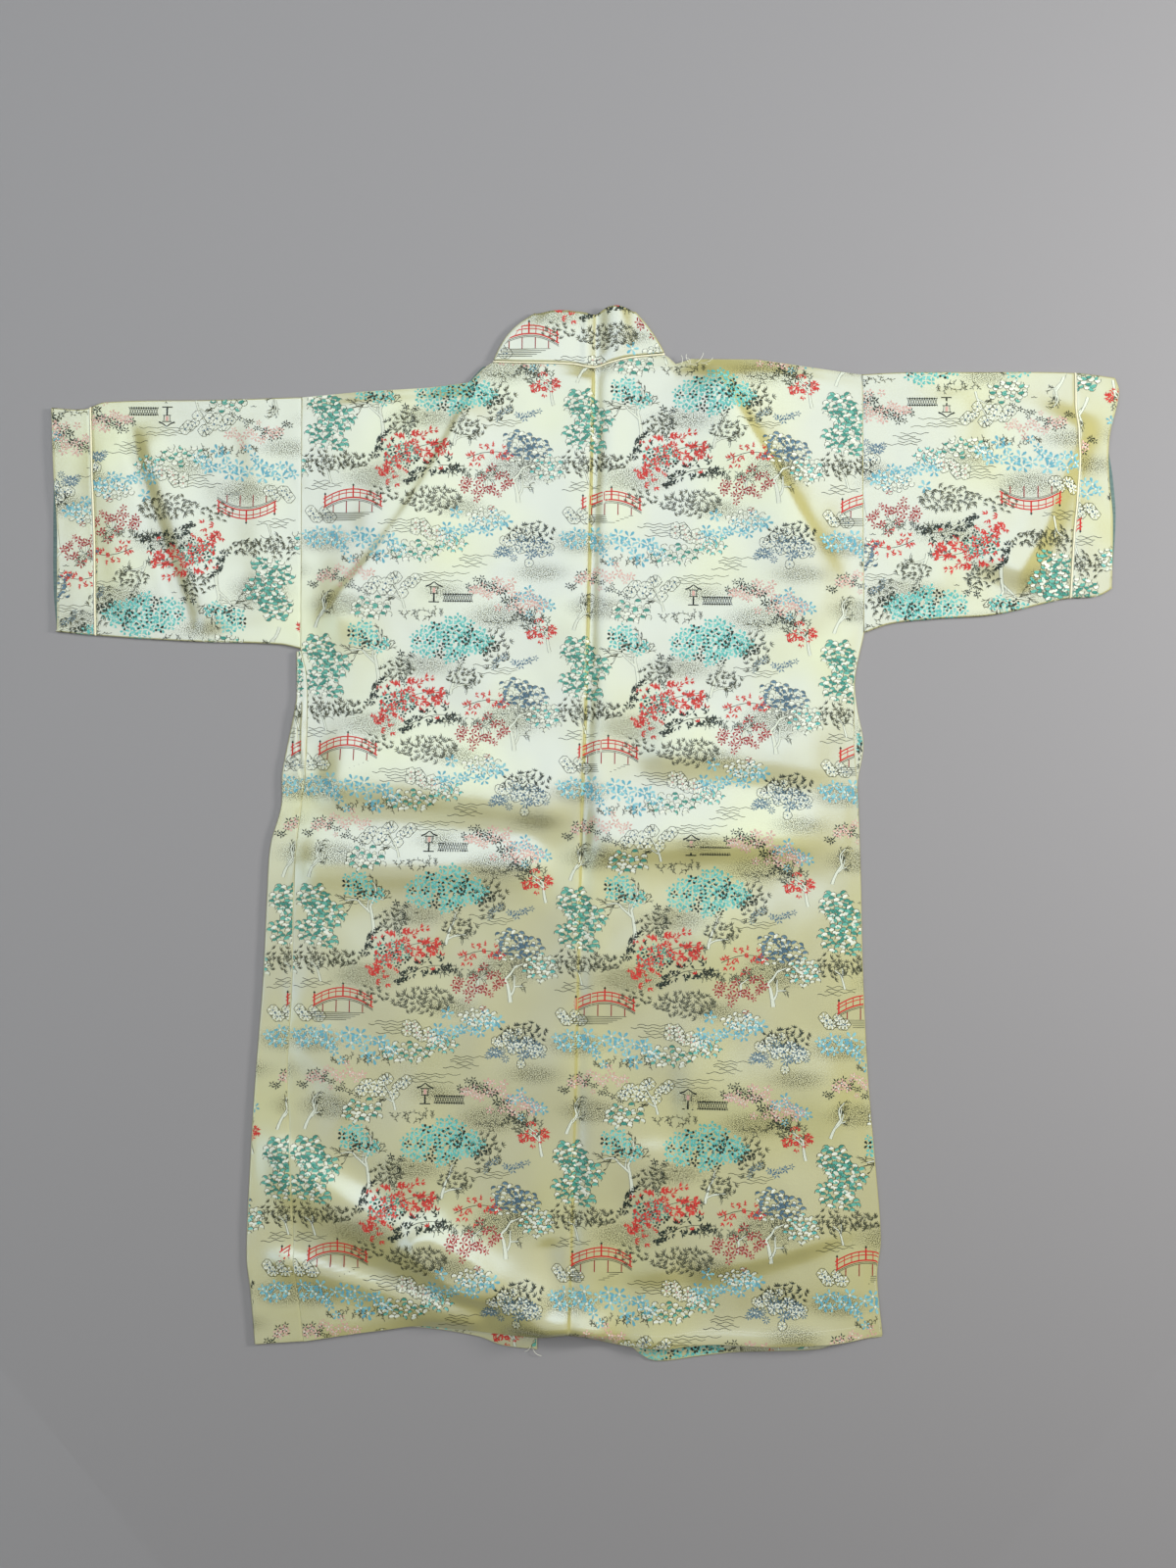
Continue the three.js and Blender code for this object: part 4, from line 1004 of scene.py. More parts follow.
# The back
backSet = {
    "columnGap": 3.4,      # width of a cell
    "rows": 205,
    "creaseColumns": (-8, -3.4, -1.8, -0.9, 0, 1.6, 3.2, 5, 7, 10),
    "edgeColumns": (0, 0.8, 2.2),
    "span": (-462, 424),   # y that its pattern covers
    "hemTurn": 3,          # rows of cloth turned up behind the hem
    "flat": (0.533, 0.905),
    "area": 0.455,
    "repeatShift": (-20.0, -436.0),
}
neckCrease = float(read(centreCrease, creaseHigh, "y", "x"))


def backTop(x):
    # the neck seam, less the piping, between the two shoulders
    inNeck = (x > neckEnds[0] - cloth["seam"]) & (x < neckEnds[1] + cloth["seam"])
    neck = read(neckSeam, x) - pipingRoom - 0.1
    return np.where(inNeck, neck, readStraight(shoulders, x))


def backHalves(y):
    # the centre crease and the widths of the back on both sides of it
    crease = read(centreCrease, y, "y", "x")
    return crease, crease - leftEdge(y) - cloth["sewn"] / 2, rightEdge(y) - cloth["sewn"] / 2 - crease


def backPlace(share, y):
    # share runs from -1 at the left edge through 0 at the centre crease to 1 at the right edge
    crease, left, right = backHalves(y)
    return crease + share * np.where(share < 0, left, right)


def backShare(x, y):
    # the other way about: the share at x
    crease, left, right = backHalves(y)
    return (x - crease) / np.where(x < crease, left, right)


hemBend = 4      # rows round the folded edge of a hem


def backEnds(share):
    # y of the hem and of the upper edge at that share
    return read(backHem, backPlace(share, creaseLow)), backTop(backPlace(share, creaseHigh))


def turnHem(outer, normals, turn, away=(0.0, -1.0, 0.0)):
    # rows turned over behind the first one: a half circle about the middle of the wall, then back inside
    half = cloth["wall"] / 2
    middle = outer[0] - normals[0] * half
    bends = np.linspace(math.pi, 0, hemBend + 2)[1:-1]
    arc = [middle + half * (normals[0] * math.cos(a) + np.array(away) * math.sin(a)) for a in bends]
    inside = [outer[k] - normals[k] * cloth["wall"] for k in range(turn, -1, -1)]
    return np.concatenate([np.array(inside), np.array(arc), outer])


def turnCut(cut, turn):
    # the same rows of the pattern's places
    return np.concatenate([cut[turn::-1], np.repeat(cut[:1], hemBend, 0), cut])


def makeBack(b):
    # columns follow the share, rows run from the hem to the shoulders, both at the upper height
    left = float(leftEdge(shoulders["y"][0])) + cloth["sewn"] / 2
    right = float(rightEdge(shoulders["y"][-1])) - cloth["sewn"] / 2
    nearCrease = [neckCrease + off for off in b["creaseColumns"]]
    atLeft = [left + off for off in b["edgeColumns"]]
    atRight = [right - off for off in b["edgeColumns"][::-1]]
    marks = [*atLeft, *shoulders["x"][3:6], *nearCrease, *shoulders["x"][6:9], *atRight]
    at = stations(marks, b["columnGap"])
    share = (at - neckCrease) / np.where(at < neckCrease, neckCrease - left, right - neckCrease)
    below, above = backEnds(share)
    t = np.linspace(0, 1, b["rows"])[:, None]
    y = lerp(below, above, t)
    x = backPlace(share[None, :], y)
    middle = np.stack([x, y, backHeight(x, y, above, below)], 2)
    normals = normalsOf(middle)
    outer = middle + normals * cloth["face"]
    whole = turnHem(outer, normals, b["hemTurn"])
    piece = shell("back_cloth", whole, whole[..., :2], b["repeatShift"])
    print("back area", round(sheetArea(whole), 4))

    def trim(px, py):
        py = np.clip(py, *b["span"])
        px = np.clip(px, leftEdge(py) + 0.5, rightEdge(py) - 0.5)
        lowest, highest = backEnds(backShare(px, py))
        return px, np.clip(py, lowest + 0.4, highest - 0.4)

    def lay(px, py):
        at = backShare(px, py)
        lowest, highest = backEnds(at)
        row = (py - lowest) / (highest - lowest) * (b["rows"] - 1)
        return onGrid(outer, normals, row, np.interp(at, share, np.arange(len(share))))

    panel = {"box": ((-253, -458), (276, 424)), "trim": trim, "lay": lay}
    figures = panelFigures("back", panel, b["repeatShift"])
    dress("back", piece, figures, "back")
    return panel


# The fronts
frontSet = {
    "flatColumns": 60,
    "foldCells": 6,
    "wrapColumns": 14,
    "rowsBelow": 160,
    "rowsAbove": 12,
    "notch": 1.5,
    "hemTurn": 5,
    "sideTurn": 3,
    "hemShift": (-40.0, -610.0),
    "sideShift": (80.0, -520.0),
    "sideEnds": (-420.0, 168.0),
    "hemShows": (0.3, 14.0),            # of the turned allowances, in from the fold
    "sideShows": (8.5, 0.5),
    "leftSpan": (-462, 395),            # y that each pattern covers
    "rightSpan": (-462, 420),
    "straight": {"y": (-460, 415), "x": 262},      # plain stand-in for the right front's sides
    "leftFlat": (0.285, 0.85),
    "rightFlat": (0.225, 0.875),
    "leftShift": (-275.0, -436.0),
    "rightShift": (-60.0, -436.0),
}


def frontEdge(side, y):
    # outer edge of a front's neckline and front edge, less the piping
    edge = frontEdges[side]
    outward = -1 if side == "left" else 1
    low = lerp(edge["hem"], edge["end"][0], ease((y - frontLow) / (edge["end"][1] - frontLow)))
    up = lerp(edge["end"][0], edge["neck"][0], (y - edge["end"][1]) / (edge["neck"][1] - edge["end"][1]))
    return np.where(y < edge["end"][1], low, up + outward * pipingRoom)


def shoulderLine(x):
    # upper edge of a front
    return readStraight(shoulders, x) - cloth["seam"]


def flatLay(level, up, mirror=1):
    # lays a pattern on a level sheet that faces up or down
    def lay(px, py):
        place = np.stack([mirror * px, py, np.full(len(px), level)], 1)
        return place, np.broadcast_to(np.array([0.0, 0.0, up]), place.shape)

    return lay


def turnedFigures(name, box, trim, shift):
    # figures on an allowance that is turned up, right side out, over a front's wall
    level = cloth["wall"] * 1.5 - cloth["face"]
    return panelFigures(name, {"box": box, "trim": trim, "lay": flatLay(level, 1.0)}, shift)


def hemFigures(name, hem, ends, f):
    # along a front's hem, between the two ends
    def trim(px, py):
        px = np.clip(px, *ends)
        edge = read(hem, px)
        return px, np.clip(py, edge + f["hemShows"][0], edge + f["hemShows"][1])

    return turnedFigures(name + "_hem", ((ends[0], -466), (ends[1], -424)), trim, f["hemShift"])


def sideFigures(name, f):
    # up the right front's side
    low, high = f["sideEnds"]

    def trim(px, py):
        py = np.clip(py, low, high)
        edge = read(rightSide, py, "y", "front")
        return np.clip(px, edge - f["sideShows"][0], edge - f["sideShows"][1]), py

    return turnedFigures(name + "_side", ((250, low), (290, high)), trim, f["sideShift"])


def leftFold(y):
    # the left front's outer fold, and the armhole over it
    return np.where(y > underarm["left"], leftEdge(y) + cloth["seam"] / 2, read(leftSide, y, "y", "fold"))


def makeLeftFront(f):
    # the lower layer from the front edge out to the side fold, round it and on to the side seam
    lowest, highest = float(read(backHem, leftSide["seam"][0])), shoulders["y"][0]
    below = np.linspace(lowest, underarm["left"], f["rowsBelow"] + 1)
    above = np.linspace(underarm["left"], highest, f["rowsAbove"] + 1)[1:]
    level = np.concatenate([below, [underarm["left"] + f["notch"]], above])[:, None]
    t = np.linspace(0, 1, f["flatColumns"] + 1)[None, :]
    x = lerp(frontEdge("left", level), leftFold(level), t)
    top = shoulderLine(np.minimum(x, shoulderStarts["left"]))
    y = lerp(read(leftFrontHem, x), top, (level - lowest) / (highest - lowest))
    x = lerp(frontEdge("left", y), leftFold(y), t)
    edgeX, edgeY = x[:, -1:], y[:, -1:]
    low = cloth["wall"] / 2
    rim = np.maximum(upperHeight(edgeX + 2, edgeY), heights["sleeve"])
    radius = (rim - low) / 2
    x = x + np.where((t == 1) & (level <= underarm["left"]), radius, 0)
    flat = np.stack([x, y, np.full(x.shape, low)], 2)
    arc = foldArc(edgeX, edgeY, (-1, 0), np.full(edgeX.shape, low), rim, f["foldCells"])
    s = np.linspace(0, 1, f["wrapColumns"] + 1)[None, :]
    wrapX = lerp(edgeX + radius, leftEdge(level) - cloth["sewn"] / 2, s)
    wrapY = lerp(edgeY, level, s)
    wrap = np.stack([wrapX, wrapY, lerp(rim, upperHeight(wrapX, wrapY), ease(s * 8))], 2)
    middle = np.concatenate([flat, arc, wrap], 1)
    normals = -normalsOf(middle[:, ::-1])[:, ::-1]
    outer = middle + normals * cloth["face"]
    added = f["hemTurn"] + 1 + hemBend
    keep = np.ones((len(middle) - 1 + added, middle.shape[1] - 1), bool)
    keep[f["rowsBelow"] + added:, f["flatColumns"]:] = False
    cut = np.concatenate([2 * edgeX - x, edgeX + np.zeros(arc.shape[:2]), wrapX], 1)
    cut = turnCut(np.stack([cut, np.concatenate([y, arc[..., 1], wrapY], 1)], 2), f["hemTurn"])
    whole = turnHem(outer, normals, f["hemTurn"])
    piece = shell("front_left_cloth", whole, cut, f["leftShift"], keep=keep)
    print("left front area", round(sheetArea(outer), 4))

    def trim(u, v):
        # u is x over the strip, and goes on leftwards past the fold as the cloth lies under
        v = np.clip(v, *f["leftSpan"])
        fold = leftFold(v)
        last = np.where(v < underarm["left"], leftEdge(v) - 0.8, fold - 0.6)
        return np.clip(u, 2 * fold - frontEdge("left", v) + 0.5, last), v

    def lay(u, v):
        fold = leftFold(v)
        under = u < fold
        x = np.where(under, 2 * fold - u, u)
        share = (x - frontEdge("left", v)) / (fold - frontEdge("left", v))
        seam = leftEdge(v) - cloth["sewn"] / 2
        onWrap = (x - fold - 1.5) / np.maximum(seam - fold - 1.5, 0.1) * f["wrapColumns"]
        onStrip = f["flatColumns"] + np.maximum(f["foldCells"] + onWrap, 1)
        column = np.where(under, np.clip(share, 0, 1) * f["flatColumns"], onStrip)
        hem = np.where(under, read(leftFrontHem, x), readStraight(leftFrontHem, fold))
        top = shoulderLine(np.minimum(x, shoulderStarts["left"]))
        part = np.clip((v - hem) / (top - hem), 0, 1)
        spot = np.where(under, lowest + part * (highest - lowest), v)
        return onGrid(outer, normals, np.interp(spot, level[:, 0], np.arange(len(level))), column)

    panel = {"box": ((-540, -456), (-246, 384)), "trim": trim, "lay": lay}
    figures = panelFigures("front_left", panel, f["leftShift"])
    figures += hemFigures("front_left", leftFrontHem, (-272, -28), f)
    dress("left front", piece, figures, "front_left")


def rightSideLine(y):
    # the right front's outer edge, up to and over the underarm
    return np.where(y < underarm["right"], read(rightSide, y, "y", "front"), rightEdge(y))


def makeRightFront(f):
    # one level layer, face down, from the front edge to the side, with hem and side turned up
    t = np.linspace(0, 1, f["rowsBelow"])[:, None]
    s = np.linspace(0, 1, f["flatColumns"])[None, :]
    nominal = lerp(frontEdge("right", lerp(*f["straight"]["y"], t)), f["straight"]["x"], s)
    top = shoulderLine(np.maximum(nominal, shoulderStarts["right"]))
    y = lerp(read(rightFrontHem, nominal), top, t)
    x = lerp(frontEdge("right", y), rightSideLine(y) - cloth["seam"] / 2, s)
    middle = np.stack([x, y, np.full(x.shape, cloth["wall"] / 2)], 2)
    down = np.array([0.0, 0.0, -1.0])
    outer = turnHem(middle + down * cloth["face"], np.broadcast_to(down, middle.shape), f["hemTurn"])
    across = outer.swapaxes(0, 1)[::-1]
    turned = turnHem(across, np.broadcast_to(down, across.shape), f["sideTurn"], (1.0, 0.0, 0.0))
    outer = turned[::-1].swapaxes(0, 1)
    keep = np.ones((outer.shape[0] - 1, outer.shape[1] - 1), bool)
    keep[:2 * f["hemTurn"] + 1 + hemBend, f["flatColumns"] - 1:] = False
    piece = shell("front_right_cloth", outer, outer[..., :2] * (-1, 1), f["rightShift"], flip=True, keep=keep)
    print("right front area", round(sheetArea(outer), 4))

    def trim(u, v):
        v = np.clip(v, *f["rightSpan"])
        u = np.clip(u, 0.7 - rightSideLine(v), -frontEdge("right", v) - 0.5)
        top = shoulderLine(np.maximum(-u, shoulderStarts["right"]))
        return u, np.clip(v, read(rightFrontHem, -u) + 0.4, top - 0.5)

    panel = {"box": ((-276, -466), (-40, 424)), "trim": trim,
             "lay": flatLay(cloth["wall"] / 2 - cloth["face"], -1.0, mirror=-1)}
    figures = panelFigures("front_right", panel, f["rightShift"])
    figures += hemFigures("front_right", rightFrontHem, (58, 272), f) + sideFigures("front_right", f)
    dress("right front", piece, figures, "front_right")


# Sleeves and cuffs: flattened tubes
tubeSet = {
    "above": 72,           # cells across the upper wall
    "below": 40,
    "fold": 6,
    "sleeveCells": 64,
    "cuffCells": 12,
    "shifts": {"sleeve_left": (-482.0, 118.0), "cuff_left": (-506.0, 96.0),
               "sleeve_right": (216.0, 132.0), "cuff_right": (236.0, 110.0)},
}
tubeRadius = (heights["sleeve"] - cloth["wall"] / 2) / 2
nominalLine = 280.0      # y at which a tube's length is told


def flatTube(sleeve, start, finish, cells, low=cloth["wall"] / 2):
    # for each line across the sleeve a ring: upper wall, fold, lower wall, fold
    t = np.linspace(0, 1, cells + 1)[:, None]
    nominal = lerp(start(nominalLine, "endAbove"), finish(nominalLine, "endAbove"), t)
    top, bottom = read(sleeve["above"], nominal), read(sleeve["below"], nominal)
    radius = (heights["sleeve"] - low) / 2
    y = lerp(bottom + radius, top - radius, np.linspace(0, 1, tubeSet["above"] + 1)[None, :])
    x = lerp(start(y, "endAbove"), finish(y, "endAbove"), t)
    edge = ease(np.minimum(y - bottom - radius, top - radius - y) / heights["edgeDrop"])
    upper = np.stack([x, y, lerp(heights["sleeve"], upperHeight(x, y), edge)], 2)
    y = lerp(top - radius, bottom + radius, np.linspace(0, 1, tubeSet["below"] + 1)[None, :])
    x = lerp(start(y, "endBelow"), finish(y, "endBelow"), t)
    lower = np.stack([x, y, np.full(x.shape, low)], 2)
    level = np.full(t.shape, low), np.full(t.shape, heights["sleeve"])
    folds = []
    for line, out in ((top, 1), (bottom, -1)):
        x = lerp(start(line, "endBelow"), finish(line, "endBelow"), t)
        folds.append(foldArc(x, line, (0, out), *level, tubeSet["fold"]))
    return np.concatenate([upper, folds[0][:, ::-1], lower, folds[1]], 1)


def makeTube(name, sleeve, start, finish, cells):
    # the ring's right side all round, from the start line to the finish line along the sleeve
    middle = flatTube(sleeve, start, finish, cells)
    normals = normalsOf(middle, ring=True)
    if normals[cells // 2, tubeSet["above"] // 2, 2] < 0:
        normals = -normals
    outer = middle + normals * cloth["face"]
    closed = np.concatenate([outer, outer[:, :1]], 1)
    step = np.linalg.norm(np.diff(closed, axis=1), axis=2)
    around = np.concatenate([np.zeros((len(outer), 1)), np.cumsum(step, 1)[:, :-1]], 1)
    facesDown = np.cross(outer[1, 1] - outer[0, 1], outer[0, 2] - outer[0, 1])[2] >= 0
    cut = np.stack([outer[..., 0], around + outer[:, :1, 1]], 2)
    piece = shell(name + "_cloth", outer, cut, tubeSet["shifts"][name], ring=True, flip=facesDown)
    ends = [float(line(nominalLine, "endAbove")) for line in (start, finish)]
    arc = math.pi * tubeRadius
    above, fold, below = tubeSet["above"], tubeSet["fold"], tubeSet["below"]
    padded = [np.concatenate([g[:, -fold:], g, g[:, :fold + 1]], 1) for g in (outer, normals)]

    def edges(t):
        x = lerp(*ends, t)
        return read(sleeve["above"], x) - tubeRadius, read(sleeve["below"], x) + tubeRadius

    def solve(u, v):
        # row share and ring column of the cloth's point u along the sleeve and v round it, then the
        # ends of its line and the edges at it
        t = np.full(len(u), 0.5)
        for _ in range(3):
            top, bottom = edges(t)
            span = top - bottom
            under = v > top + arc / 2
            y = np.where(under, np.clip(2 * top + arc - v, bottom, top), np.clip(v, bottom, top))
            a = np.where(under, start(y, "endBelow"), start(y, "endAbove"))
            b = np.where(under, finish(y, "endBelow"), finish(y, "endAbove"))
            t = np.clip((u - a) / (b - a), 0, 1)
        onFold, onLower = above + (v - top) / arc * fold, above + fold + (v - top - arc) / span * below
        column = np.where(v < bottom, (v - bottom) / arc * fold, (v - bottom) / span * above)
        column = np.where(v < top, column, np.where(v < top + arc, onFold, onLower))
        return t, column, a, b, top, bottom

    def trim(u, v):
        a, b, top, bottom = solve(u, v)[2:]
        v = np.clip(v, bottom - arc / 2, 2 * top + 1.5 * arc - bottom)
        return np.clip(u, np.minimum(a, b) + 0.4, np.maximum(a, b) - 0.4), v

    def lay(u, v):
        t, column = solve(u, v)[:2]
        return onGrid(*padded, t * cells, column + fold)

    low, high = min(sleeve["below"]["y"]), max(sleeve["above"]["y"])
    box = ((min(ends) - 12, low - 4), (max(ends) + 12, 2 * high - low + 8))
    figures = panelFigures(name, {"box": box, "trim": trim, "lay": lay}, tubeSet["shifts"][name], upside=True)
    dress(name, piece, figures, name)


def cordMesh(name, points, side=(0, 0, 1), ring=False, sides=12, thick=cloth["piping"], material=None):
    # circles carried along the path, square to it
    path = np.roll(points, -1, 0) - np.roll(points, 1, 0) if ring else np.gradient(points, axis=0)
    path = path / np.linalg.norm(path, axis=1, keepdims=True)
    b = np.cross(path, np.array(side, float))
    b = b / np.linalg.norm(b, axis=1, keepdims=True)
    a = np.cross(b, path)
    turn = np.linspace(0, 2 * math.pi, sides + 1)[:-1]
    spoke = a[:, None] * np.cos(turn)[None, :, None] + b[:, None] * np.sin(turn)[None, :, None]
    places = (points[:, None] + spoke * thick / 2).reshape(-1, 3)
    quads = gridFaces(len(points) + ring, sides, ring=True) % len(places)
    faces = np.concatenate([quads[:, [0, 1, 2]], quads[:, [0, 2, 3]]])
    if not ring:
        k = np.arange(1, sides - 1)
        end = len(places) - sides
        caps = [np.stack([0 * k, k + 1, k], 1), np.stack([0 * k + end, end + k, end + k + 1], 1)]
        faces = np.concatenate([faces, *caps])
    a, b, c = (places[faces[:, k]] for k in range(3))
    if np.einsum("ij,ij->i", a, np.cross(b, c)).sum() < 0:      # the volume: faces point inwards
        faces = faces[:, ::-1]
    piece = meshObject(name, places, faces, [material or pipingMaterial])
    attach(piece, body)
    return piece


def cuffCord(sleeve, cuffLine, name):
    # piping round the cuff seam: the sleeve's ring at that line, at the piping's own heights
    ring = flatTube(sleeve, cuffLine, cuffLine, 1, cloth["piping"] / 2)[0]
    piece = cordMesh(name + "_cord", ring, (1, 0, 0), ring=True)
    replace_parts(piece, name)


def makeSleeve(side, sleeve, armhole, outward):
    # lines across the sleeve, as x at y on the upper or the lower layer: armhole, cuff seam and end
    def armLine(y, layer):
        return armhole(y) + outward * cloth["sewn"]

    def cuffLine(y, layer, off=0.0):
        return read(sleeve["cuffSeam"], y, "y", "x") + outward * off

    def beforeCuff(y, layer):
        return cuffLine(y, layer, -pipingRoom)

    def afterCuff(y, layer):
        return cuffLine(y, layer, pipingRoom)

    def endLine(y, layer):
        return read(sleeve[layer], y, "y", "x")

    makeTube("sleeve_" + side, sleeve, armLine, beforeCuff, tubeSet["sleeveCells"])
    makeTube("cuff_" + side, sleeve, afterCuff, endLine, tubeSet["cuffCells"])
    cuffCord(sleeve, cuffLine, "piping_cuff_" + side)


# Collar and neck piping
collarSet = {
    "across": 22,
    "leg": 80,
    "fold": 6,
    "backCells": 60,
    "inset": 0.2,          # of the cloth's faces inside the solid's
    "patternLow": 416,     # y of the pattern at the seam, and its width up to the free edge
    "patternWide": 46,
    "flat": (0.052, 0.93),
    "area": 0.024,
    "shift": (-96.0, 380.0),
}
collarFolds = {
    "left": {"neck": (-80, 416), "tip": (-43, 460), "out": (-0.765, 0.643), "bulge": 1.0},
    "right": {"neck": (74, 424), "tip": (47, 462), "out": (0.8, 0.6), "bulge": 0.3},
}
bandRadius = (collarLay["high"] - collarLay["low"]) / 2


def foldEdge(side, w):
    # the fold beside the neck, w of the way from the seam to the free edge, with a slight bulge
    fold = collarFolds[side]
    bulge = collarLay["bulge"] * np.sin(math.pi * w) * fold["bulge"]
    x0 = fold["neck"][0] - math.copysign(collarLay["shift"], fold["out"][0])
    y0 = fold["neck"][1] + pipingRoom + collarLay["shift"]
    return tuple(lerp(first, fold["tip"][k], w) + bulge * fold["out"][k] for k, first in enumerate((x0, y0)))


def collarLeg(side, w, cells):
    # under the back, from the fold beside the neck down to the tip on the front edge
    inward = 1 if side == "left" else -1
    out = collarFolds[side]["out"]
    x, y = foldEdge(side, w)
    endX, endY = frontEdges[side]["end"]
    t = np.linspace(0, 1, cells + 1)[None, :]
    footX = endX + inward * (pipingRoom + collarLay["tip"] * w)
    leg = lerp(x - out[0] * bandRadius, footX, t), lerp(y - out[1] * bandRadius, endY + 4, t)
    return np.stack([*leg, np.full(leg[0].shape, collarLay["low"])], 2)


def awayFromFolds(t):
    # 0 at both ends and 1 from a fifth of the way in
    return ease(np.minimum(t, 1 - t) * 5)


def collarAcross(t, w):
    # across the back of the neck: t from the left fold to the right one, w from the seam up
    (leftX, _), (rightX, _) = foldEdge("left", w), foldEdge("right", w)
    outL, outR = collarFolds["left"]["out"], collarFolds["right"]["out"]
    x = lerp(leftX - outL[0] * bandRadius, rightX - outR[0] * bandRadius, t)
    low = read(neckSeam, lerp(*neckEnds, t)) + pipingRoom
    high = read(collarTop, lerp(*tipEnds, t))
    near = awayFromFolds(t)
    turn = collarLay["shift"] * (1 - w) - lerp(outL[1], outR[1], t) * bandRadius
    return x, lerp(low, high, w) + turn * (1 - near), lerp(collarLay["high"], collarHeight(x, w), near)


def makeCollar(c):
    # one band: the left leg, round its fold, across the neck, round the right fold and down the right leg
    w = np.linspace(0, 1, c["across"] + 1)[:, None]
    t = np.linspace(0, 1, c["backCells"] + 1)[None, :]
    across = np.stack(collarAcross(t, w), 2)
    parts = [collarLeg("left", w, c["leg"])[:, ::-1]]
    for side in ("left", "right"):
        x, y = foldEdge(side, w)
        levels = np.full(w.shape, collarLay["low"]), np.full(w.shape, collarLay["high"])
        arc = foldArc(x, y, collarFolds[side]["out"], *levels, c["fold"])
        parts += [arc, across] if side == "left" else [arc[:, ::-1]]
    parts.append(collarLeg("right", w, c["leg"]))
    middle = np.concatenate(parts, 1)
    normals = normalsOf(middle)
    outer = middle + normals * (collarLay["ply"] / 2 - c["inset"])
    step = np.linalg.norm(np.diff(outer, axis=1), axis=2)
    along = np.concatenate([np.zeros((len(outer), 1)), np.cumsum(step, 1)], 1)
    start = c["leg"] + c["fold"]
    along = along - along[:, start:start + 1] + across[:, :1, 0]
    cut = np.stack([along, along * 0 + w * c["patternWide"] + c["patternLow"]], 2)
    piece = shell("collar_cloth", outer, cut, c["shift"], wall=collarLay["ply"] - 2 * c["inset"])
    print("collar area", round(sheetArea(outer), 4), "length", round(float(step.sum(1).mean())))

    def solve(u, v):
        t, w = np.full(len(u), 0.5), np.full(len(u), 0.5)
        for _ in range(8):
            left, right = collarAcross(0 * t, w)[0], collarAcross(0 * t + 1, w)[0]
            t = np.clip((u - left) / (right - left), 0, 1)
            low, high = collarAcross(t, 0 * w)[1], collarAcross(t, 0 * w + 1)[1]
            w = np.clip((v - low) / (high - low), 0, 1)
        return t, w

    def trim(u, v):
        x, y = collarAcross(*solve(u, v))[:2]
        inside = np.hypot(x - u, y - v) < 0.3
        return np.where(inside, u, x), np.where(inside, v, y)

    def lay(u, v):
        t, w = solve(u, v)
        return onGrid(outer, normals, w * c["across"], start + t * c["backCells"])

    panel = {"box": ((-96, 410), (84, 470)), "trim": trim, "lay": lay}
    figures = panelFigures("collar", panel, c["shift"])
    dress("collar", piece, figures, "collar")


def makeNeckPiping():
    # across the neck on the seam at the collar's height, and straight down each front on the floor
    t = np.linspace(0, 1, 70)
    station = lerp(*neckEnds, t)
    height = lerp(collarLay["high"], collarHeight(station, 0), awayFromFolds(t))
    paths = {"piping_neck": [station, read(neckSeam, station), height]}
    t = np.linspace(0.012, 0.965, 60)
    for side, edge in frontEdges.items():
        line = [lerp(edge["neck"][k], edge["end"][k], t) for k in (0, 1)]
        paths["piping_front_" + side] = [*line, 0 * t + cloth["piping"] / 2]
    for node, path in paths.items():
        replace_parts(cordMesh(node + "_cord", np.stack(path, 1)), node)


# Stitches and loose threads
stitchSet = {
    "pitch": 2.1,              # from stitch to stitch
    "long": 1.35,
    "wide": 0.42,
    "lift": 0.16,
    "rims": (0.02, 0.05),      # height of its tips and of its sides
    "fromHem": 11.0,
    "hem": (58.0, 252.0),
    "fromSide": 1.9,
    "side": (-436.0, -366.0),
}
# Loose threads: x, y and z of the start, heading in degrees, length, and curl in degrees
looseThreads = (
    (88, 413, 3.4, 48, 11, 70),
    (92, 414, 3.4, 16, 16, -50),
    (97, 415, 3.6, 75, 8, 95),
    (101, 415.5, 3.6, 20, 13, 60),
    (106, 416, 3.4, 8, 12, -70),
    (110, 417, 3.2, -12, 9, 80),
    (96, 416, 3.8, 150, 9, -80),
    (-31, -457, 1.3, -75, 11, 60),
    (-33, -456, 1.5, -110, 7, -50),
)


def makeStitches(panel, c):
    # small raised lozenges in a row along the hem and one along the right edge
    x = np.arange(*c["hem"], c["pitch"])
    hem = np.stack([x, read(backHem, x) + c["fromHem"], 0 * x], 1)
    y = np.arange(*c["side"], c["pitch"])
    edge = np.stack([rightEdge(y) - c["fromSide"], y, 0 * y + math.pi / 2], 1)
    rows = np.concatenate([hem, edge])
    along = np.stack([np.cos(rows[:, 2]), np.sin(rows[:, 2])], 1) * c["long"] / 2
    aside = np.stack([-along[:, 1], along[:, 0]], 1) * c["wide"] / c["long"]
    corners = np.stack([rows[:, :2] + off for off in (-along, -aside, along, aside, 0 * along)], 1)
    place, normal = panel["lay"](corners[..., 0].ravel(), corners[..., 1].ravel())
    lift = np.tile([*c["rims"], *c["rims"], c["lift"]], len(rows))[:, None]
    quad = np.array([[0, 1, 4], [1, 2, 4], [2, 3, 4], [3, 0, 4]])
    faces = (np.arange(len(rows))[:, None, None] * 5 + quad).reshape(-1, 3)
    piece = meshObject("hem_stitches", place + normal * lift, faces, [stitchMaterial], smooth=False)
    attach(piece, body)


def makeLooseThreads(rows):
    # each is a thin round strand whose heading turns steadily as it goes
    t = np.linspace(0, 1, 12)
    for k, (x, y, z, turn, long, curl) in enumerate(rows):
        heading = np.radians(turn + curl * t)[1:]
        px = x + np.append(0, np.cumsum(np.cos(heading) * long / 11))
        py = y + np.append(0, np.cumsum(np.sin(heading) * long / 11))
        path = np.stack([px, py, z + 0.8 * np.sin(math.pi * t) - 0.5 * t], 1)
        piece = cordMesh(f"loose_thread_{k + 1}", path, sides=5, thick=0.42, material=stitchMaterial)


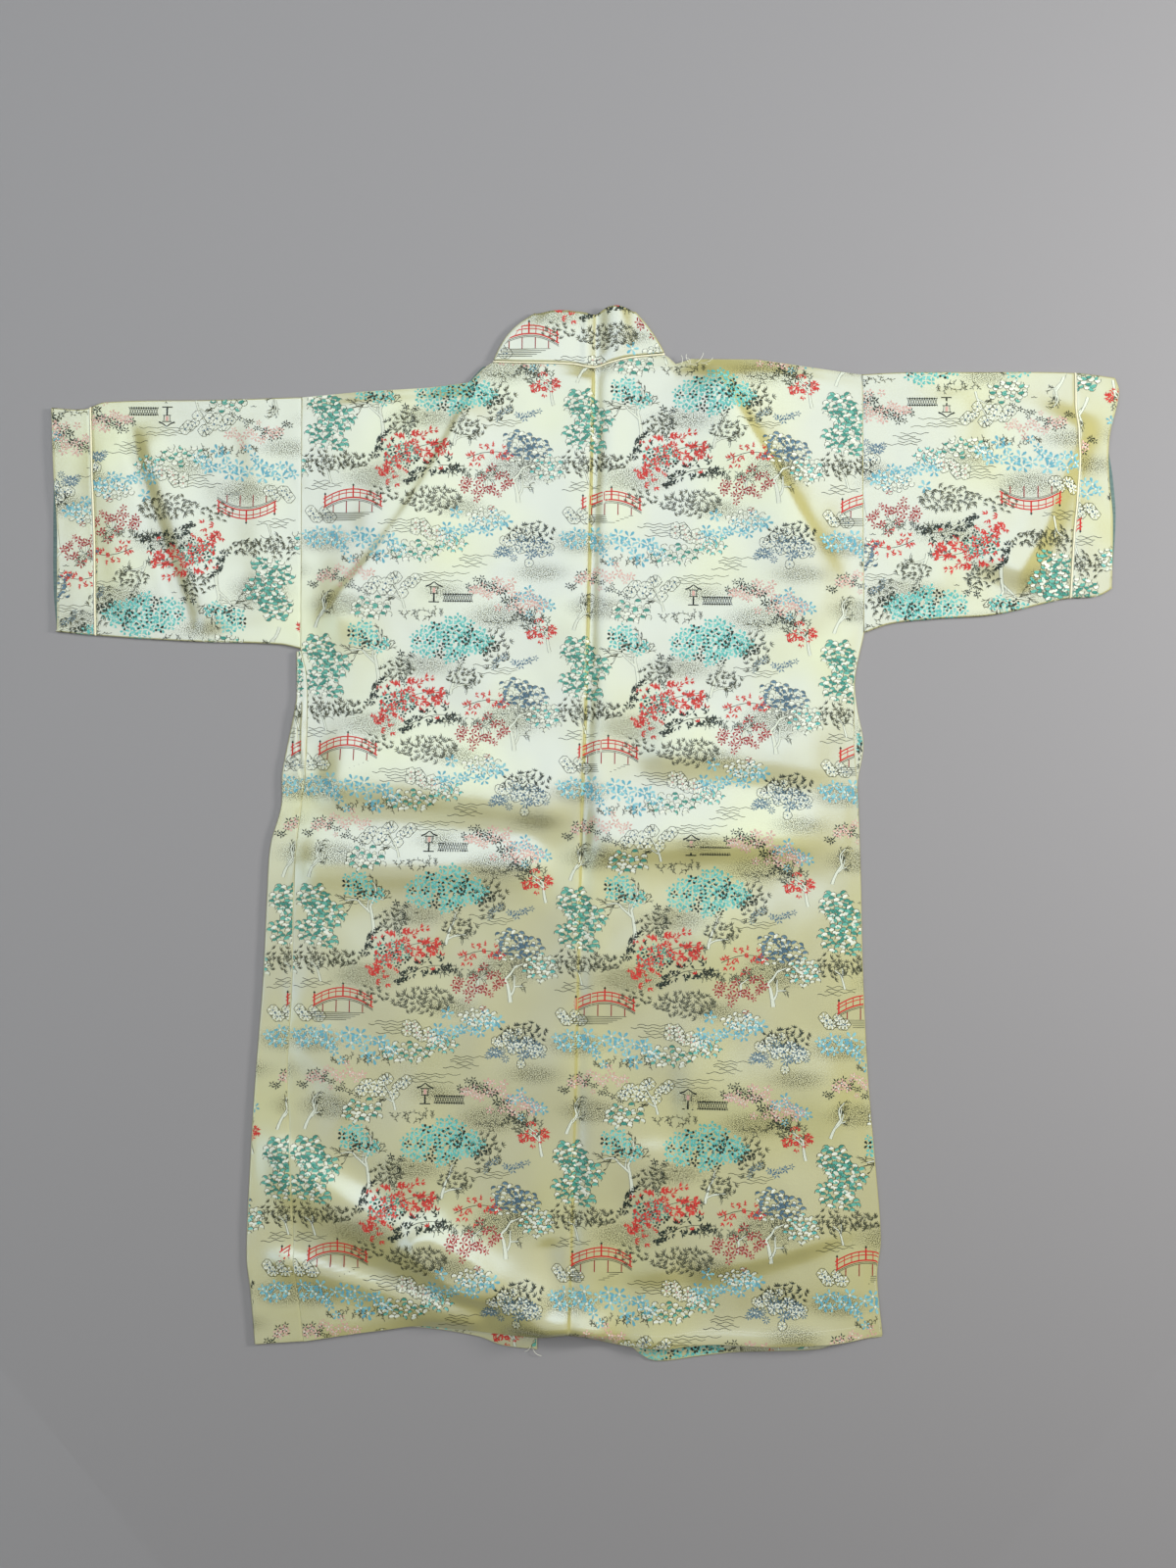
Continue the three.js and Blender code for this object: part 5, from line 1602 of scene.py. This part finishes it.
backPanel = makeBack(backSet)
makeStitches(backPanel, stitchSet)
makeLooseThreads(looseThreads)
makeLeftFront(frontSet)
makeRightFront(frontSet)
makeSleeve("left", leftSleeve, leftEdge, -1)
makeSleeve("right", rightSleeve, rightEdge, 1)
makeCollar(collarSet)
makeNeckPiping()

# Light and floor
lightSet = {
    "lamps": {
        "window": {"place": (0.0, 0.98, 1.60), "aim": (0.0, 0.98, 0.0), "size": (2.7, 1.85),
                   "power": 29.2, "colour": (0.93, 0.975, 1.0)},
        "ceiling": {"place": (0.0, -0.62, 1.60), "aim": (0.0, -0.62, 0.0), "size": (2.7, 1.3),
                    "power": 5.5, "colour": (1.0, 0.96, 0.86)},
        "leftPane": {"place": (-1.75, -0.55, 1.60), "aim": (-1.75, -0.55, 0.0), "size": (1.9, 1.5),
                     "power": 17.0, "colour": (0.86, 0.95, 1.0)},
        "side": {"place": (1.8, 0.45, 0.72), "aim": (0.0, -0.1, 0.0), "size": (0.34, 0.34),
                 "power": 34.0, "colour": (1.0, 0.99, 0.97), "mirrored": False},
    },
    "ambient": (0.97, 0.97, 1.0, 1.0),
    "ambientStrength": 0.10,
    "floor": srgb(149, 147, 148),
    "floorHalf": 6000.0,
    "floorLevel": -0.2,
}


def makeLights(s):
    # an area lamp for each row, turned to its aim, and a faint even light
    for name, one in s["lamps"].items():
        data = bpy.data.lights.new(name, "AREA")
        data.shape = "RECTANGLE"
        data.size, data.size_y = one["size"]
        data.energy = one["power"]
        data.color = one["colour"]
        lamp = bpy.data.objects.new(name, data)
        lamp.location = one["place"]
        heading = Vector(one["aim"]) - Vector(one["place"])
        lamp.rotation_euler = heading.to_track_quat("-Z", "Y").to_euler()
        lamp.visible_glossy = one.get("mirrored", True)
        bpy.context.scene.collection.objects.link(lamp)
    world = bpy.data.worlds.new("room")
    bpy.context.scene.world = world
    world.use_nodes = True
    background = world.node_tree.nodes["Background"]
    feed(world.node_tree, background, {"Color": s["ambient"], "Strength": s["ambientStrength"]})


def makeFloor(s):
    material, tree, shader = newMaterial("paleFloor")
    feed(tree, shader, {"Base Color": s["floor"], "Roughness": 0.75})
    half, level = s["floorHalf"], s["floorLevel"]
    corners = [(-half, -half, level), (half, -half, level), (half, half, level), (-half, half, level)]
    floor = meshObject("floor", corners, [[0, 1, 2, 3]], [material], smooth=False)


makeLights(lightSet)
makeFloor(lightSet)
